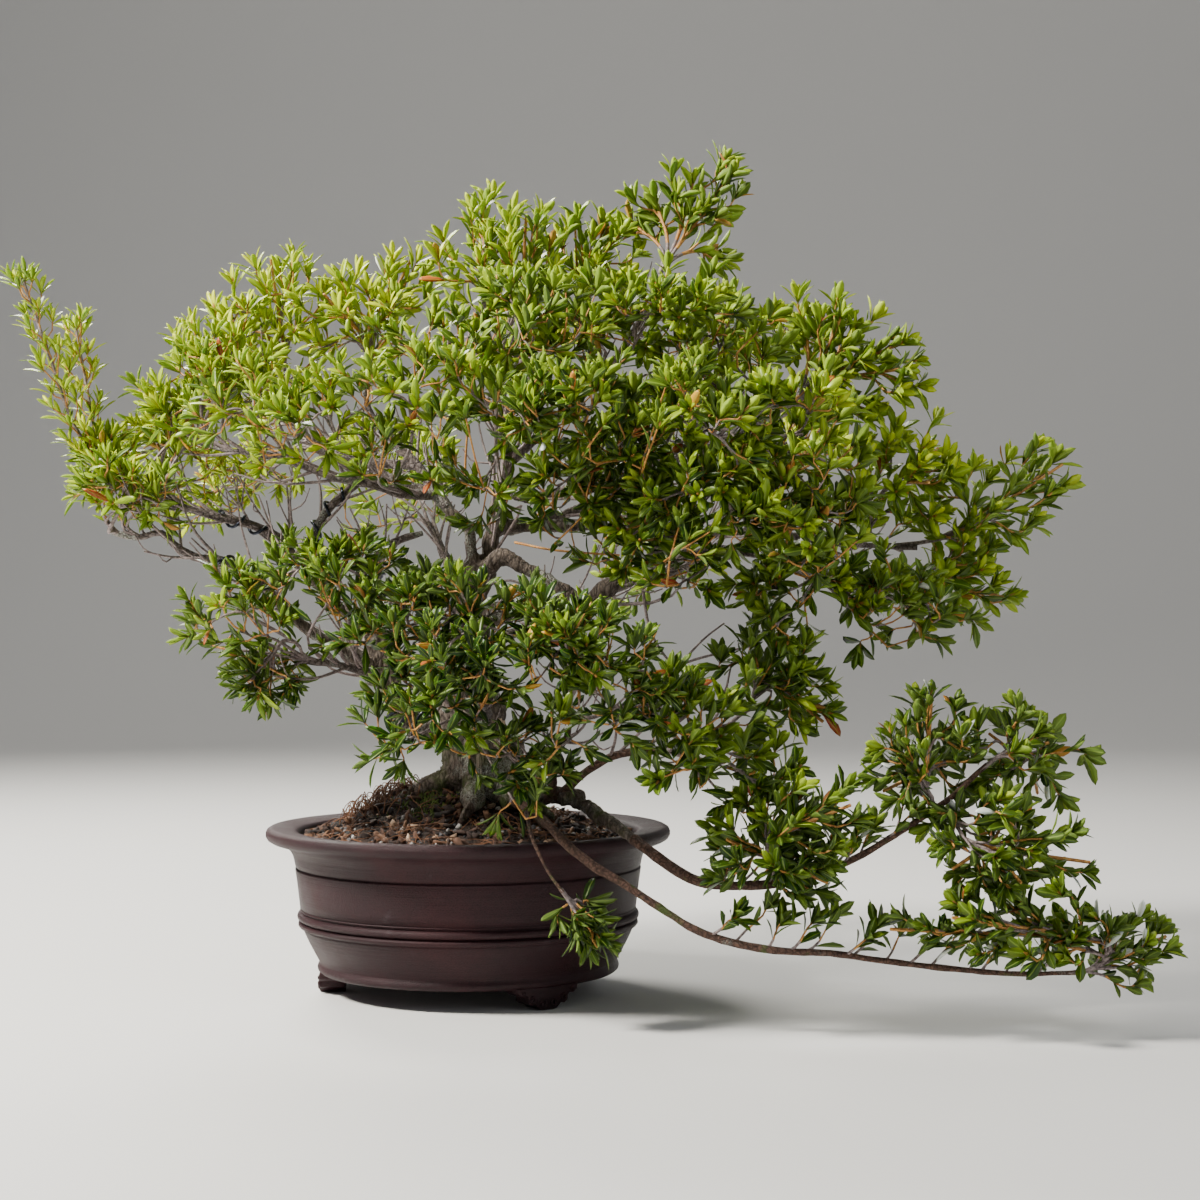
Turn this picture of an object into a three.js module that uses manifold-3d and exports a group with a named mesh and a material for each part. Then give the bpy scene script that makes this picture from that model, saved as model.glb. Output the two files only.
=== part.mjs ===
// Azalea bonsai growing in a round clay pot on three cloud feet.
// Lengths are millimetres and +Z is up. The tree is laid out round the pot's upright axis, and at the
// end everything is moved so that the origin is the middle of the underside of the whole.

import * as THREE from 'three';
import { mergeVertices } from 'three/addons/utils/BufferGeometryUtils.js';
import Module from 'manifold-3d';

const wasm = await Module();
wasm.setup();

// Driving dimensions of the pot
const POT_RADIUS = 175;
const POT_HEIGHT = 142.5;
const FLOOR_TOP = 29;
const FOOT_HEIGHT = 17.5;
const FOOT_WIDTH = 58;
const FOOT_THICKNESS = 22;
const FOOT_OUTER_RADIUS = 128;
const FOOT_ANGLES = [184, 304, 64];
const POT_SIDES = 26;
const DRAIN_RADIUS = 11;
const MESH_RADIUS = 24;
const MESH_THICKNESS = 1.2;
const MESH_HOLE = 4.6;
const MESH_HOLE_FROM_MIDDLE = 3.5;

// Driving dimensions of the plant
const GAP = 0.3;
const LEAF_LENGTH = 28;
const LEAF_HALF_WIDTH = 5;
const LEAF_WIDEST = 0.62;
const LEAF_ROOT = 2;
const LEAF_LEAN = 0.45;
const LEAF_LEAN_BY_TURNS = [-0.12, 0.15];
const BUD_HEIGHT = 2.2;
const SIDES = 4;
const FLOOR_CLEARANCE = 1;
const FOOT_STEP = 0.4;
const FORK_SHARE = 0.64;
const LEAF_STEP = 27;
const LIMB_STEP = 48;
const THICK_LIMB = 9;
const MIDDLING_LIMB = 6.2;
const LIMB_TAPER = 0.9;
const TRUNK_SIDES = 10;
const TRUNK_STEPS = 7;
const ROOT_SIDES = 6;
const ROOT_STEPS = 3;
const WIRE_RADIUS = 1.2;
const SHOOT_RADIUS = 0.95;
const STEM_RADIUS = 1.9;

const UP = new THREE.Vector3(0, 0, 1);
const XAXIS = new THREE.Vector3(1, 0, 0);
const GOLDEN_ANGLE = Math.PI * (3 - Math.sqrt(5));

// The tree was measured in a front view. A place is written [x, z, depth]: how far right of the pot's
// axis and how high over the floor it is seen on the upright plane through that axis, and how far
// behind that plane it really lies. Nearer places are drawn in towards the eye.
const EYE = new THREE.Vector3(114, -2085, 338);

function seen([x, z, depth]) {
  const spread = (depth - EYE.y) / -EYE.y;
  return new THREE.Vector3(EYE.x + (x - EYE.x) * spread, depth, EYE.z + (z - EYE.z) * spread);
}

// Solids are joined and cut as manifolds, and go back to geometry at the end.
function toSolid(geometry) {
  const bare = geometry.clone();
  bare.deleteAttribute('normal');
  bare.deleteAttribute('uv');
  const merged = mergeVertices(bare, 1e-4);
  return new wasm.Manifold(new wasm.Mesh({
    numProp: 3,
    vertProperties: new Float32Array(merged.attributes.position.array),
    triVerts: new Uint32Array(merged.index.array),
  }));
}

function toGeometry(solid) {
  const mesh = solid.getMesh();
  const geometry = new THREE.BufferGeometry();
  geometry.setAttribute('position', new THREE.BufferAttribute(mesh.vertProperties, 3));
  geometry.setIndex(new THREE.BufferAttribute(mesh.triVerts, 1));
  geometry.computeVertexNormals();
  return geometry;
}

function join(solids) {
  return solids.reduce((whole, next) => whole.add(next));
}

function overlaps(one, other) {
  return one.intersect(other).getMesh().triVerts.length > 0;
}

const group = new THREE.Group();

function addPart(name, solid, color, roughness, metalness = 0) {
  const material = new THREE.MeshStandardMaterial({ color, roughness, metalness });
  const mesh = new THREE.Mesh(toGeometry(solid), material);
  mesh.name = name;
  group.add(mesh);
}

// A tapered round limb: a cylinder whose rings are carried along a curve, each to its own radius. The
// hole that a limb stands in is the same shape, grown all round.
function limbGeometry(curve, radiusAt, sides, steps, grow = 0) {
  const frames = curve.computeFrenetFrames(steps, false);
  const centres = curve.getSpacedPoints(steps);
  centres[0].addScaledVector(frames.tangents[0], -grow);
  centres[steps].addScaledVector(frames.tangents[steps], grow);
  const geometry = new THREE.CylinderGeometry(1, 1, 1, sides, steps);
  const position = geometry.attributes.position;
  const place = new THREE.Vector3();
  for (let i = 0; i < position.count; i += 1) {
    const ring = Math.round((position.getY(i) + 0.5) * steps);
    const radius = radiusAt(ring / steps) + grow / Math.cos(Math.PI / sides);
    place.copy(centres[ring]);
    place.addScaledVector(frames.binormals[ring], position.getX(i) * radius);
    place.addScaledVector(frames.normals[ring], position.getZ(i) * radius);
    position.setXYZ(i, place.x, place.y, place.z);
  }
  return geometry;
}

function taper(start, end, power = 1) {
  return (t) => end + (start - end) * (1 - t) ** power;
}

// The pot is turned on a wheel: its outline is read from the drain hole outwards, over the rim and back.
const POT_OUTLINE = [
  [DRAIN_RADIUS, FOOT_HEIGHT], [118, FOOT_HEIGHT], [126.5, FOOT_HEIGHT],
  [130.5, 20], [130.5, 24.5], [128.8, 27],
  [134.5, 38], [140.5, 50], [143.4, 56.5],
  [146.4, 59.8], [143.8, 63],
  [146.8, 66.8], [144.6, 70.4],
  [149.6, 107], [148.4, 108.4], [149.8, 110],
  [152, 119], [157, 126], [166, 130.2],
  [172, 131.4], [POT_RADIUS, 136.5], [171, POT_HEIGHT],
  [150, 140.4], [145.5, 136],
  [139.5, 108], [133.5, 66], [124, 40], [112, FLOOR_TOP],
  [DRAIN_RADIUS, FLOOR_TOP],
];

function turned(outline, sides) {
  const points = outline.map(([radius, height]) => new THREE.Vector2(radius, height));
  return new THREE.LatheGeometry(points, sides).rotateX(Math.PI / 2);
}

// A cloud foot: its front outline is broad under the foot ring and curls in to a scrolled toe.
function cloudFoot(angle) {
  const half = FOOT_WIDTH / 2;
  const outline = new THREE.Shape();
  outline.moveTo(-half, FOOT_HEIGHT + 2);
  outline.lineTo(-half * 0.93, FOOT_HEIGHT * 0.72);
  outline.quadraticCurveTo(-half * 0.66, FOOT_HEIGHT * 0.62, -half * 0.6, FOOT_HEIGHT * 0.3);
  outline.quadraticCurveTo(-half * 0.5, 0, -half * 0.28, 0);
  outline.lineTo(half * 0.28, 0);
  outline.quadraticCurveTo(half * 0.5, 0, half * 0.6, FOOT_HEIGHT * 0.3);
  outline.quadraticCurveTo(half * 0.66, FOOT_HEIGHT * 0.62, half * 0.93, FOOT_HEIGHT * 0.72);
  outline.lineTo(half, FOOT_HEIGHT + 2);
  const options = { depth: FOOT_THICKNESS, bevelEnabled: false, curveSegments: 3 };
  const foot = new THREE.ExtrudeGeometry(outline, options);
  foot.rotateX(Math.PI / 2);
  foot.translate(0, -FOOT_OUTER_RADIUS + FOOT_THICKNESS, 0);
  return foot.rotateZ(THREE.MathUtils.degToRad(angle + 90));
}

function makePot() {
  const closed = [...POT_OUTLINE, POT_OUTLINE[0]];
  const feet = FOOT_ANGLES.map((angle) => toSolid(cloudFoot(angle)));
  return join([toSolid(turned(closed, POT_SIDES)), ...feet]);
}

// The soil fills the pot inside, a hair clear of it, and is heaped up towards the trunk.
const SOIL_OUTLINE = [
  [0, FLOOR_TOP + MESH_THICKNESS + 2 * GAP], [MESH_RADIUS + 2, FLOOR_TOP + MESH_THICKNESS + 2 * GAP],
  [MESH_RADIUS + 2, FLOOR_TOP + GAP], [111, FLOOR_TOP + GAP],
  [123, 40.6], [132.6, 66.4], [138.6, 108], [143.6, 134],
  [118, 138.5], [84, 148], [48, 160.5], [0, 168],
];
const MOUND = { x: -52, y: -14, height: 16, reach: 46, above: 136 };
const LUMPS = { height: 1.4, across: 0.11, along: 0.13, fade: 6 };

function makeSoil(holes) {
  const lathe = turned(SOIL_OUTLINE, POT_SIDES);
  const position = lathe.attributes.position;
  for (let i = 0; i < position.count; i += 1) {
    const [x, y, z] = [position.getX(i), position.getY(i), position.getZ(i)];
    if (z > MOUND.above) {
      const away = Math.hypot(x - MOUND.x, y - MOUND.y) / MOUND.reach;
      const fade = Math.min(1, (z - MOUND.above) / LUMPS.fade);
      const lump = LUMPS.height * Math.sin(x * LUMPS.across + 1) * Math.sin(y * LUMPS.along);
      position.setZ(i, z + MOUND.height * Math.exp(-away * away) + lump * fade);
    }
  }
  return toSolid(lathe).subtract(join(holes));
}

// The trunk and the limbs. Each limb: its name, radius where it starts and where it ends, and its
// course in the front view as [x, z, depth].
const TRUNK = {
  course: [[14, 132, 6], [13, 168, 5], [12, 192, 4], [6, 220, 0], [1, 251, -4], [-1, 286, -4],
    [-1, 320, 0], [4, 346, 0], [10, 366, 0]],
  start: 43,
  end: 16.5,
  flare: 1.5,
};
const ROOTS = [
  { start: 17, end: 4, course: [[4, 196, -4], [-26, 178, -18], [-52, 166, -26], [-74, 150, -34]] },
  { start: 15, end: 4, course: [[8, 192, -12], [4, 172, -44], [0, 158, -68], [-8, 142, -84]] },
  { start: 15, end: 4, course: [[22, 194, -8], [42, 172, -30], [62, 156, -38], [80, 143, -40]] },
  { start: 15, end: 4, course: [[20, 192, 12], [44, 170, 34], [58, 156, 52], [68, 142, 66]] },
  { start: 15, end: 4, course: [[4, 194, 14], [-22, 174, 40], [-36, 160, 60], [-46, 144, 74]] },
];
const LIMBS = {
  stem_left: { start: 11.5, end: 3, course: [[8, 350, 0], [3, 382, -4], [-1, 400, -8], [-15, 415, -10],
    [-30, 432, -8], [-44, 454, 0], [-61, 472, 8], [-84, 498, 12], [-90, 518, 12]] },
  leader: { start: 13.5, end: 2.8, course: [[10, 352, 0], [20, 377, 4], [20, 391, 6], [25, 418, 8],
    [29, 438, 8], [34, 462, 8], [31, 481, 4], [27, 503, 0], [25, 520, -2], [26, 542, 0], [29, 563, 4]] },
  limb_up_right: { start: 6.5, end: 2.6, course: [[33, 456, 8], [53, 474, 14], [70, 490, 20], [83, 503, 24],
    [107, 524, 28], [133, 555, 24], [155, 590, 10], [168, 606, 0]] },
  limb_right_high: { start: 7, end: 2.6, course: [[27, 430, 8], [53, 426, 0], [70, 430, -10],
    [96, 436, -24], [122, 440, -36], [150, 451, -50], [185, 464, -60], [220, 477, -60], [250, 492, -50]] },
  limb_right_long: { start: 8, end: 2.6, course: [[23, 404, 6], [44, 402, 20], [85, 402, 30],
    [122, 402, 34], [153, 397, 34], [206, 396, 28], [255, 396, 20], [307, 390, 10], [342, 386, 4],
    [390, 384, 0]] },
  limb_crooked: { start: 8, end: 6, course: [[12, 362, -4], [30, 376, -14], [46, 366, -20], [66, 358, -24],
    [81, 347, -28], [104, 334, -30]] },
  limb_mossy: { start: 11, end: 3, course: [[2, 322, -6], [42, 330, -20], [69, 336, -26], [102, 334, -30],
    [117, 346, -34], [139, 356, -38], [162, 361, -44], [185, 368, -50], [206, 379, -52], [237, 380, -60],
    [272, 373, -66]] },
  limb_left_long: { start: 6, end: 2.6, course: [[-28, 430, -8], [-47, 429, -20], [-68, 434, -32],
    [-95, 441, -40], [-119, 446, -44], [-145, 455, -46], [-166, 461, -44], [-189, 466, -40],
    [-210, 468, -34], [-235, 475, -26]] },
  limb_left_high: { start: 5.5, end: 2.6, course: [[-44, 454, 0], [-60, 456, 10], [-92, 457, 24],
    [-116, 462, 34], [-143, 483, 40], [-158, 493, 40], [-168, 499, 38], [-184, 512, 34], [-200, 528, 30]] },
  limb_low_left: { start: 15, end: 3, course: [[0, 220, 2], [-36, 227, 12], [-54, 233, 20], [-64, 248, 26],
    [-71, 269, 30], [-77, 295, 32], [-79, 321, 32], [-80, 350, 28], [-82, 370, 24], [-73, 383, 20],
    [-58, 391, 14], [-40, 396, 10]] },
  limb_left_rising: { start: 7.5, end: 2.8, course: [[-76, 288, 32], [-102, 320, 36], [-128, 347, 34],
    [-150, 373, 28], [-163, 389, 22], [-188, 403, 14], [-204, 407, 6], [-237, 415, -4], [-266, 425, -10]] },
  limb_left_lowest: { start: 6.5, end: 2.4, course: [[-73, 276, 30], [-110, 296, 10], [-145, 316, -10],
    [-177, 347, -24], [-191, 363, -30], [-204, 367, -32], [-216, 373, -32], [-237, 375, -30],
    [-254, 384, -26], [-267, 396, -24], [-290, 392, -24], [-309, 397, -26]] },
  limb_left_crossing: { start: 6.5, end: 2.8, course: [[-122, 340, 34], [-126, 372, 44], [-136, 389, 48],
    [-131, 402, 52], [-124, 415, 56], [-111, 428, 62], [-95, 440, 70], [-80, 455, 84]] },
  limb_low_front: { start: 6.5, end: 2.6, course: [[-66, 257, 24], [-80, 268, -8], [-95, 277, -36],
    [-115, 282, -56], [-140, 285, -70]] },
  limb_front: { start: 8.5, end: 3, course: [[0, 286, -4], [-5, 300, -50], [-10, 312, -90],
    [-5, 322, -125]] },
  limb_front_low: { start: 7, end: 2.6, course: [[6, 234, -10], [14, 240, -55], [14, 238, -90],
    [5, 235, -120]] },
  limb_back: { start: 9.5, end: 3, course: [[0, 326, 4], [-10, 350, 50], [-20, 375, 95],
    [-35, 405, 135]] },
  limb_back_high: { start: 7, end: 3, course: [[27, 434, 8], [30, 450, 45], [35, 470, 85],
    [40, 500, 120]] },
  limb_back_right: { start: 7.5, end: 2.8, course: [[22, 396, 8], [60, 405, 50], [105, 420, 85],
    [155, 440, 110], [205, 455, 125]] },
  limb_back_left: { start: 6.5, end: 2.8, course: [[-28, 430, -6], [-60, 440, 40], [-100, 462, 84],
    [-140, 478, 110]] },
  limb_back_low: { start: 7.5, end: 2.8, course: [[2, 298, 6], [40, 310, 50], [80, 325, 85],
    [120, 345, 110]] },
  base_limb: { start: 10, end: 6, course: [[12, 178, -8], [46, 170, -34], [72, 167, -52], [98, 165, -66]] },
  low_branch: { start: 6.4, end: 2.6, course: [[92, 165, -62], [123, 145, -112], [148, 126, -150],
    [168, 112, -166], [194, 95, -180], [237, 90, -190], [290, 96, -196], [333, 112, -200],
    [377, 138, -204], [420, 168, -206], [450, 195, -206]] },
  tall_shoot: { start: 5.2, end: 2.6, course: [[70, 166, -51], [73, 183, -70], [70, 199, -90],
    [75, 210, -110], [86, 221, -130], [87, 258, -160], [88, 276, -172]] },
  right_shoot: { start: 5.4, end: 2.6, course: [[76, 166, -54], [98, 186, -80], [114, 197, -95],
    [131, 204, -108], [159, 207, -120], [173, 207, -128], [206, 218, -135], [229, 230, -138]] },
  lowest_branch: { start: 6, end: 2.4, course: [[26, 168, -24], [46, 160, -66], [64, 147, -120],
    [76, 135, -164], [102, 112, -198], [133, 92, -212], [161, 74, -216], [203, 49, -220],
    [255, 35, -222], [315, 31, -222], [377, 22, -220], [464, 14, -218], [530, 14, -214]] },
  hanging_stem: { start: 3.2, end: 2, course: [[36, 164, -36], [48, 156, -110], [52, 142, -165],
    [58, 124, -190], [69, 102, -198], [82, 84, -200]] },
};

// The leafy sprays. Each: the limb that its branchlet leaves, where the branchlet ends, and one or
// more tufts that grow from there, as [x, z, depth, spread, shoots]. A spread of 0 is a long whip.
const SPRAYS = {
  left_whip: { limb: 'limb_left_rising', base: [-327, 455, -14], tufts: [[-395, 637, -20, 0, 6]] },
  left_whip_low: { limb: 'limb_left_rising', base: [-312, 436, 18],
    tufts: [[-345, 592, 34, 0, 5], [-318, 458, -30, 34, 2]] },
  left_tip: { limb: 'limb_left_lowest', base: [-312, 400, -40], tufts: [[-296, 434, -52, 36, 3]] },
  left_upper: { limb: 'limb_left_rising', base: [-268, 452, 24],
    tufts: [[-256, 508, -8, 46, 2], [-270, 474, 76, 36, 2]] },
  left_crown_low: { limb: 'limb_left_long', base: [-244, 486, -30], tufts: [[-218, 540, -42, 44, 4]] },
  left_crown_high: { limb: 'limb_left_high', base: [-204, 534, 32], tufts: [[-206, 586, 22, 46, 4]] },
  left_crown_plume: { limb: 'limb_left_high', base: [-160, 540, 40], tufts: [[-172, 634, 24, 44, 4]] },
  left_front_low: { limb: 'limb_left_long', base: [-166, 474, -84], tufts: [[-192, 504, -134, 46, 4]] },
  left_front_high: { limb: 'limb_left_long', base: [-112, 470, -84], tufts: [[-122, 500, -150, 52, 4]] },
  crown_top_left: { limb: 'stem_left', base: [-86, 542, 18],
    tufts: [[-86, 600, 54, 40, 2], [-50, 634, 26, 38, 2], [-126, 604, -20, 40, 2]] },
  crown_plume: { limb: 'leader', base: [14, 590, 8], tufts: [[14, 684, 16, 42, 4]] },
  crown_front_plume: { limb: 'leader', base: [44, 585, -22], tufts: [[56, 660, -44, 46, 4]] },
  crown_top_right: { limb: 'limb_up_right', base: [98, 580, 50],
    tufts: [[92, 668, 58, 40, 2], [138, 664, 26, 38, 2]] },
  right_top_whip: { limb: 'limb_up_right', base: [166, 622, -6],
    tufts: [[245, 732, -22, 0, 5], [222, 648, 30, 24, 2]] },
  crown_front_left: { limb: 'leader', base: [-12, 515, -64], tufts: [[-18, 572, -116, 52, 4]] },
  crown_front_mid: { limb: 'leader', base: [58, 520, -76], tufts: [[70, 585, -128, 52, 4]] },
  crown_front_right: { limb: 'limb_up_right', base: [136, 545, -54], tufts: [[158, 588, -100, 52, 4]] },
  front_left: { limb: 'limb_left_long', base: [-50, 474, -96], tufts: [[-52, 515, -164, 52, 4]] },
  front_mid: { limb: 'leader', base: [24, 462, -104], tufts: [[24, 505, -180, 54, 4]] },
  front_right: { limb: 'limb_right_high', base: [94, 468, -110], tufts: [[104, 505, -188, 54, 4]] },
  right_crown_mid: { limb: 'limb_right_high', base: [196, 505, -44], tufts: [[222, 566, -50, 50, 4]] },
  right_crown_plume: { limb: 'limb_right_high', base: [278, 506, -22],
    tufts: [[338, 590, -4, 36, 2], [376, 556, -60, 36, 2]] },
  right_crown_back: { limb: 'limb_right_high', base: [240, 520, 30], tufts: [[270, 560, 60, 46, 3]] },
  right_front_high: { limb: 'limb_right_high', base: [170, 470, -130], tufts: [[186, 500, -198, 52, 4]] },
  right_front_side: { limb: 'limb_right_high', base: [244, 478, -118], tufts: [[290, 482, -170, 52, 4]] },
  right_side_high: { limb: 'limb_right_long', base: [352, 424, 6],
    tufts: [[408, 470, 24, 44, 2], [400, 440, -56, 40, 2]] },
  right_tip: { limb: 'limb_right_long', base: [436, 404, 6], tufts: [[516, 456, 16, 40, 4]] },
  right_low: { limb: 'limb_right_long', base: [380, 362, 26],
    tufts: [[474, 338, 36, 34, 2], [440, 392, -24, 34, 2]] },
  right_low_front: { limb: 'limb_mossy', base: [286, 362, -92],
    tufts: [[372, 338, -104, 42, 3], [274, 344, -140, 40, 2]] },
  right_front_low: { limb: 'limb_mossy', base: [244, 408, -112], tufts: [[290, 416, -168, 50, 4]] },
  right_front_mid: { limb: 'limb_mossy', base: [176, 408, -122], tufts: [[206, 420, -196, 50, 4]] },
  left_pad_top: { limb: 'limb_low_front', base: [-104, 322, -80], tufts: [[-118, 362, -128, 50, 4]] },
  left_pad_side: { limb: 'limb_low_front', base: [-152, 302, -86],
    tufts: [[-202, 330, -108, 38, 2], [-178, 276, -84, 20, 2]] },
  front_pad_left: { limb: 'limb_front', base: [-46, 306, -100], tufts: [[-56, 328, -170, 48, 4]] },
  front_pad_mid: { limb: 'limb_front', base: [6, 318, -140], tufts: [[10, 316, -214, 50, 4]] },
  front_low: { limb: 'limb_front_low', base: [2, 232, -128],
    tufts: [[-28, 256, -188, 50, 3], [42, 198, -180, 40, 2]] },
  tall_pad: { limb: 'tall_shoot', base: [92, 286, -182], tufts: [[98, 304, -244, 42, 4]] },
  mid_right_low: { limb: 'tall_shoot', base: [108, 236, -150], tufts: [[130, 246, -216, 46, 3]] },
  mid_right: { limb: 'right_shoot', base: [176, 226, -148],
    tufts: [[192, 240, -206, 44, 2], [252, 176, -176, 44, 2]] },
  mid_right_tall: { limb: 'right_shoot', base: [248, 256, -140],
    tufts: [[268, 322, -138, 36, 2], [308, 232, -146, 26, 2]] },
  low_right_near: { limb: 'low_branch', base: [262, 112, -208],
    tufts: [[224, 130, -234, 40, 2], [332, 160, -246, 34, 2]] },
  low_right_plume: { limb: 'low_branch', base: [398, 178, -208], tufts: [[402, 258, -214, 38, 4]] },
  low_right_top: { limb: 'low_branch', base: [464, 204, -208],
    tufts: [[506, 220, -204, 36, 2], [494, 170, -150, 40, 2]] },
  low_right_side: { limb: 'low_branch', base: [440, 126, -228],
    tufts: [[540, 110, -236, 34, 2], [480, 84, -252, 34, 2]] },
  lowest_tip: { limb: 'lowest_branch', base: [548, 20, -214],
    tufts: [[618, 50, -206, 18, 2], [420, 62, -262, 30, 2]] },
  hanging: { limb: 'hanging_stem', base: [86, 78, -200], tufts: [[116, 44, -206, 22, 3]] },
  back_left: { limb: 'limb_back_left', base: [-152, 490, 124],
    tufts: [[-184, 520, 184, 50, 2], [-206, 440, 136, 44, 2]] },
  back_mid: { limb: 'limb_back', base: [-40, 418, 150], tufts: [[-56, 446, 220, 56, 4]] },
  back_high: { limb: 'limb_back_high', base: [42, 512, 134], tufts: [[46, 566, 186, 56, 4]] },
  back_right: { limb: 'limb_back_right', base: [214, 464, 136],
    tufts: [[170, 506, 192, 54, 2], [282, 480, 180, 52, 2]] },
  back_low: { limb: 'limb_back_low', base: [130, 354, 124], tufts: [[164, 372, 196, 54, 3]] },
};

const curves = Object.fromEntries(Object.entries(LIMBS).map(
  ([name, { course }]) => [name, new THREE.CatmullRomCurve3(course.map(seen))],
));

// A spray's stem leaves its limb a little before the place nearest to its base, and bends towards it.
// It runs along the limb for a share of its own length first.
const COURSE_STEPS = 60;
const FIRST_FOOT_SHARE = 0.05;
const FOOT_BEFORE_BASE = 0.5;
const ALONG_LIMB = 0.35;
const BEND_EASE = 0.3;

function stemCourse({ limb, base, tufts }) {
  const end = seen(base);
  const curve = curves[limb];
  let nearest = 0;
  for (let step = 0; step <= COURSE_STEPS; step += 1) {
    const share = step / COURSE_STEPS;
    if (curve.getPointAt(share).distanceTo(end) < curve.getPointAt(nearest).distanceTo(end)) {
      nearest = share;
    }
  }
  const reach = curve.getPointAt(nearest).distanceTo(end);
  const from = Math.max(FIRST_FOOT_SHARE, nearest - FOOT_BEFORE_BASE * reach / curve.getLength());
  const start = curve.getPointAt(from);
  const along = ALONG_LIMB * start.distanceTo(end);
  const bend = start.clone().addScaledVector(curve.getTangentAt(from), along).lerp(end, BEND_EASE);
  return new THREE.CatmullRomCurve3([start, bend, end, seen(tufts[0])]);
}

function limbSteps(curve) {
  return Math.max(3, Math.round(curve.getLength() / LIMB_STEP));
}

function limbTaper({ start, end }) {
  return taper(start, end, LIMB_TAPER);
}

function limbSides({ start }) {
  if (start > THICK_LIMB) return 6;
  return start > MIDDLING_LIMB ? 5 : 4;
}

// The wood, or with grow the holes that its lower parts stand in.
function makeWood(grow = 0) {
  const trunkCurve = new THREE.CatmullRomCurve3(TRUNK.course.map(seen));
  const trunkTaper = taper(TRUNK.start, TRUNK.end, TRUNK.flare);
  const parts = [toSolid(limbGeometry(trunkCurve, trunkTaper, TRUNK_SIDES, TRUNK_STEPS, grow))];
  for (const { start, end, course } of ROOTS) {
    const curve = new THREE.CatmullRomCurve3(course.map(seen));
    parts.push(toSolid(limbGeometry(curve, taper(start, end), ROOT_SIDES, ROOT_STEPS, grow)));
  }
  for (const [name, limb] of Object.entries(LIMBS)) {
    const curve = curves[name];
    const geometry = limbGeometry(curve, limbTaper(limb), limbSides(limb), limbSteps(curve), grow);
    parts.push(toSolid(geometry));
  }
  return parts;
}

// A leafy shoot is one closed skin round a four-sided stem. It is built from stations: a bare station
// is one ring, a leafy one has a leaf on each side of the stem, and the last ends in a bud with leaves
// round it. A leaf is flat below and ridged along its midrib above.
function shootGeometry(stations, turn) {
  const points = [];
  const faces = [];
  const add = (point) => points.push(point) - 1;
  let across = new THREE.Vector3().crossVectors(stations[0].axis, XAXIS).normalize();
  let below = null;
  const ring = ({ at, axis, radius }, angle) => {
    across = across.clone().addScaledVector(axis, -across.dot(axis)).normalize();
    return Array.from({ length: SIDES }, (_, k) => {
      const out = across.clone().applyAxisAngle(axis, angle + 2 * Math.PI * k / SIDES);
      return add(at.clone().addScaledVector(out, radius));
    });
  };
  const leaf = ({ at, axis, length, lean }, angle, k) => {
    const out = across.clone().applyAxisAngle(axis, angle + 2 * Math.PI * (k + 0.5) / SIDES);
    const sideways = new THREE.Vector3().crossVectors(axis, out);
    const lift = lean + LEAF_LEAN_BY_TURNS[k % 2];
    const heading = out.clone().multiplyScalar(Math.cos(lift)).addScaledVector(axis, Math.sin(lift));
    const widest = at.clone().addScaledVector(heading, LEAF_WIDEST * length);
    return [
      add(widest.clone().addScaledVector(sideways, -LEAF_HALF_WIDTH)),
      add(at.clone().addScaledVector(heading, length)),
      add(widest.clone().addScaledVector(sideways, LEAF_HALF_WIDTH)),
    ];
  };
  const bridge = (low, high) => {
    for (let k = 0; k < SIDES; k += 1) {
      const next = (k + 1) % SIDES;
      faces.push(low[k], low[next], high[next], low[k], high[next], high[k]);
    }
  };
  const underside = (low, k, [before, tip, after]) => {
    const next = (k + 1) % SIDES;
    faces.push(low[k], tip, before, low[k], low[next], tip, low[next], after, tip);
  };
  stations.forEach((station, index) => {
    const angle = turn + index * Math.PI / SIDES;
    const low = ring(station, angle);
    if (below) bridge(below, low);
    else faces.push(low[0], low[2], low[1], low[0], low[3], low[2]);
    below = low;
    if (!station.length) return;
    if (index === stations.length - 1) {
      const bud = add(station.at.clone().addScaledVector(station.axis, BUD_HEIGHT));
      low.forEach((corner, k) => {
        const [before, tip, after] = leaf(station, angle, k);
        underside(low, k, [before, tip, after]);
        faces.push(bud, corner, before, bud, before, tip);
        faces.push(bud, tip, after, bud, after, low[(k + 1) % SIDES]);
      });
      return;
    }
    const top = { ...station, at: station.at.clone().addScaledVector(station.axis, LEAF_ROOT) };
    const high = ring(top, angle);
    low.forEach((corner, k) => {
      const next = (k + 1) % SIDES;
      const [before, tip, after] = leaf(station, angle, k);
      underside(low, k, [before, tip, after]);
      faces.push(high[k], before, tip, high[k], tip, high[next], high[next], tip, after);
      faces.push(corner, before, high[k], low[next], high[next], after);
    });
    below = high;
  });
  return new THREE.BufferGeometry().setFromPoints(points).setIndex(faces);
}

// A tuft's stem has leaves at its tip and a little further back. A whip is leafy all the way up. The
// shares are how far along the stem each station is.
const FURTHEST_BACK = 0.4;
const WHIP_FIRST = 0.4;

function tuftStations(stem, foot, waist, [, , , spread, count], { length, lean, lift }) {
  const back = Math.min(FURTHEST_BACK * (1 - waist), LEAF_STEP / stem.getLength());
  const whip = (_, i) => waist + (1 - waist) * (i + WHIP_FIRST) / (count - 1 + WHIP_FIRST);
  const leafy = spread ? [1 - back, 1] : Array.from({ length: count }, whip);
  const first = stem.getPoint(waist).sub(stem.getPoint(foot)).normalize();
  return [foot, waist, ...leafy].map((share, i) => ({
    at: stem.getPoint(share).addScaledVector(UP, lift * Math.max(0, share - waist)),
    axis: i ? stem.getTangent(share) : first,
    radius: THREE.MathUtils.lerp(STEM_RADIUS, SHOOT_RADIUS, share),
    length: i < 2 ? 0 : length,
    lean,
  }));
}

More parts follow.
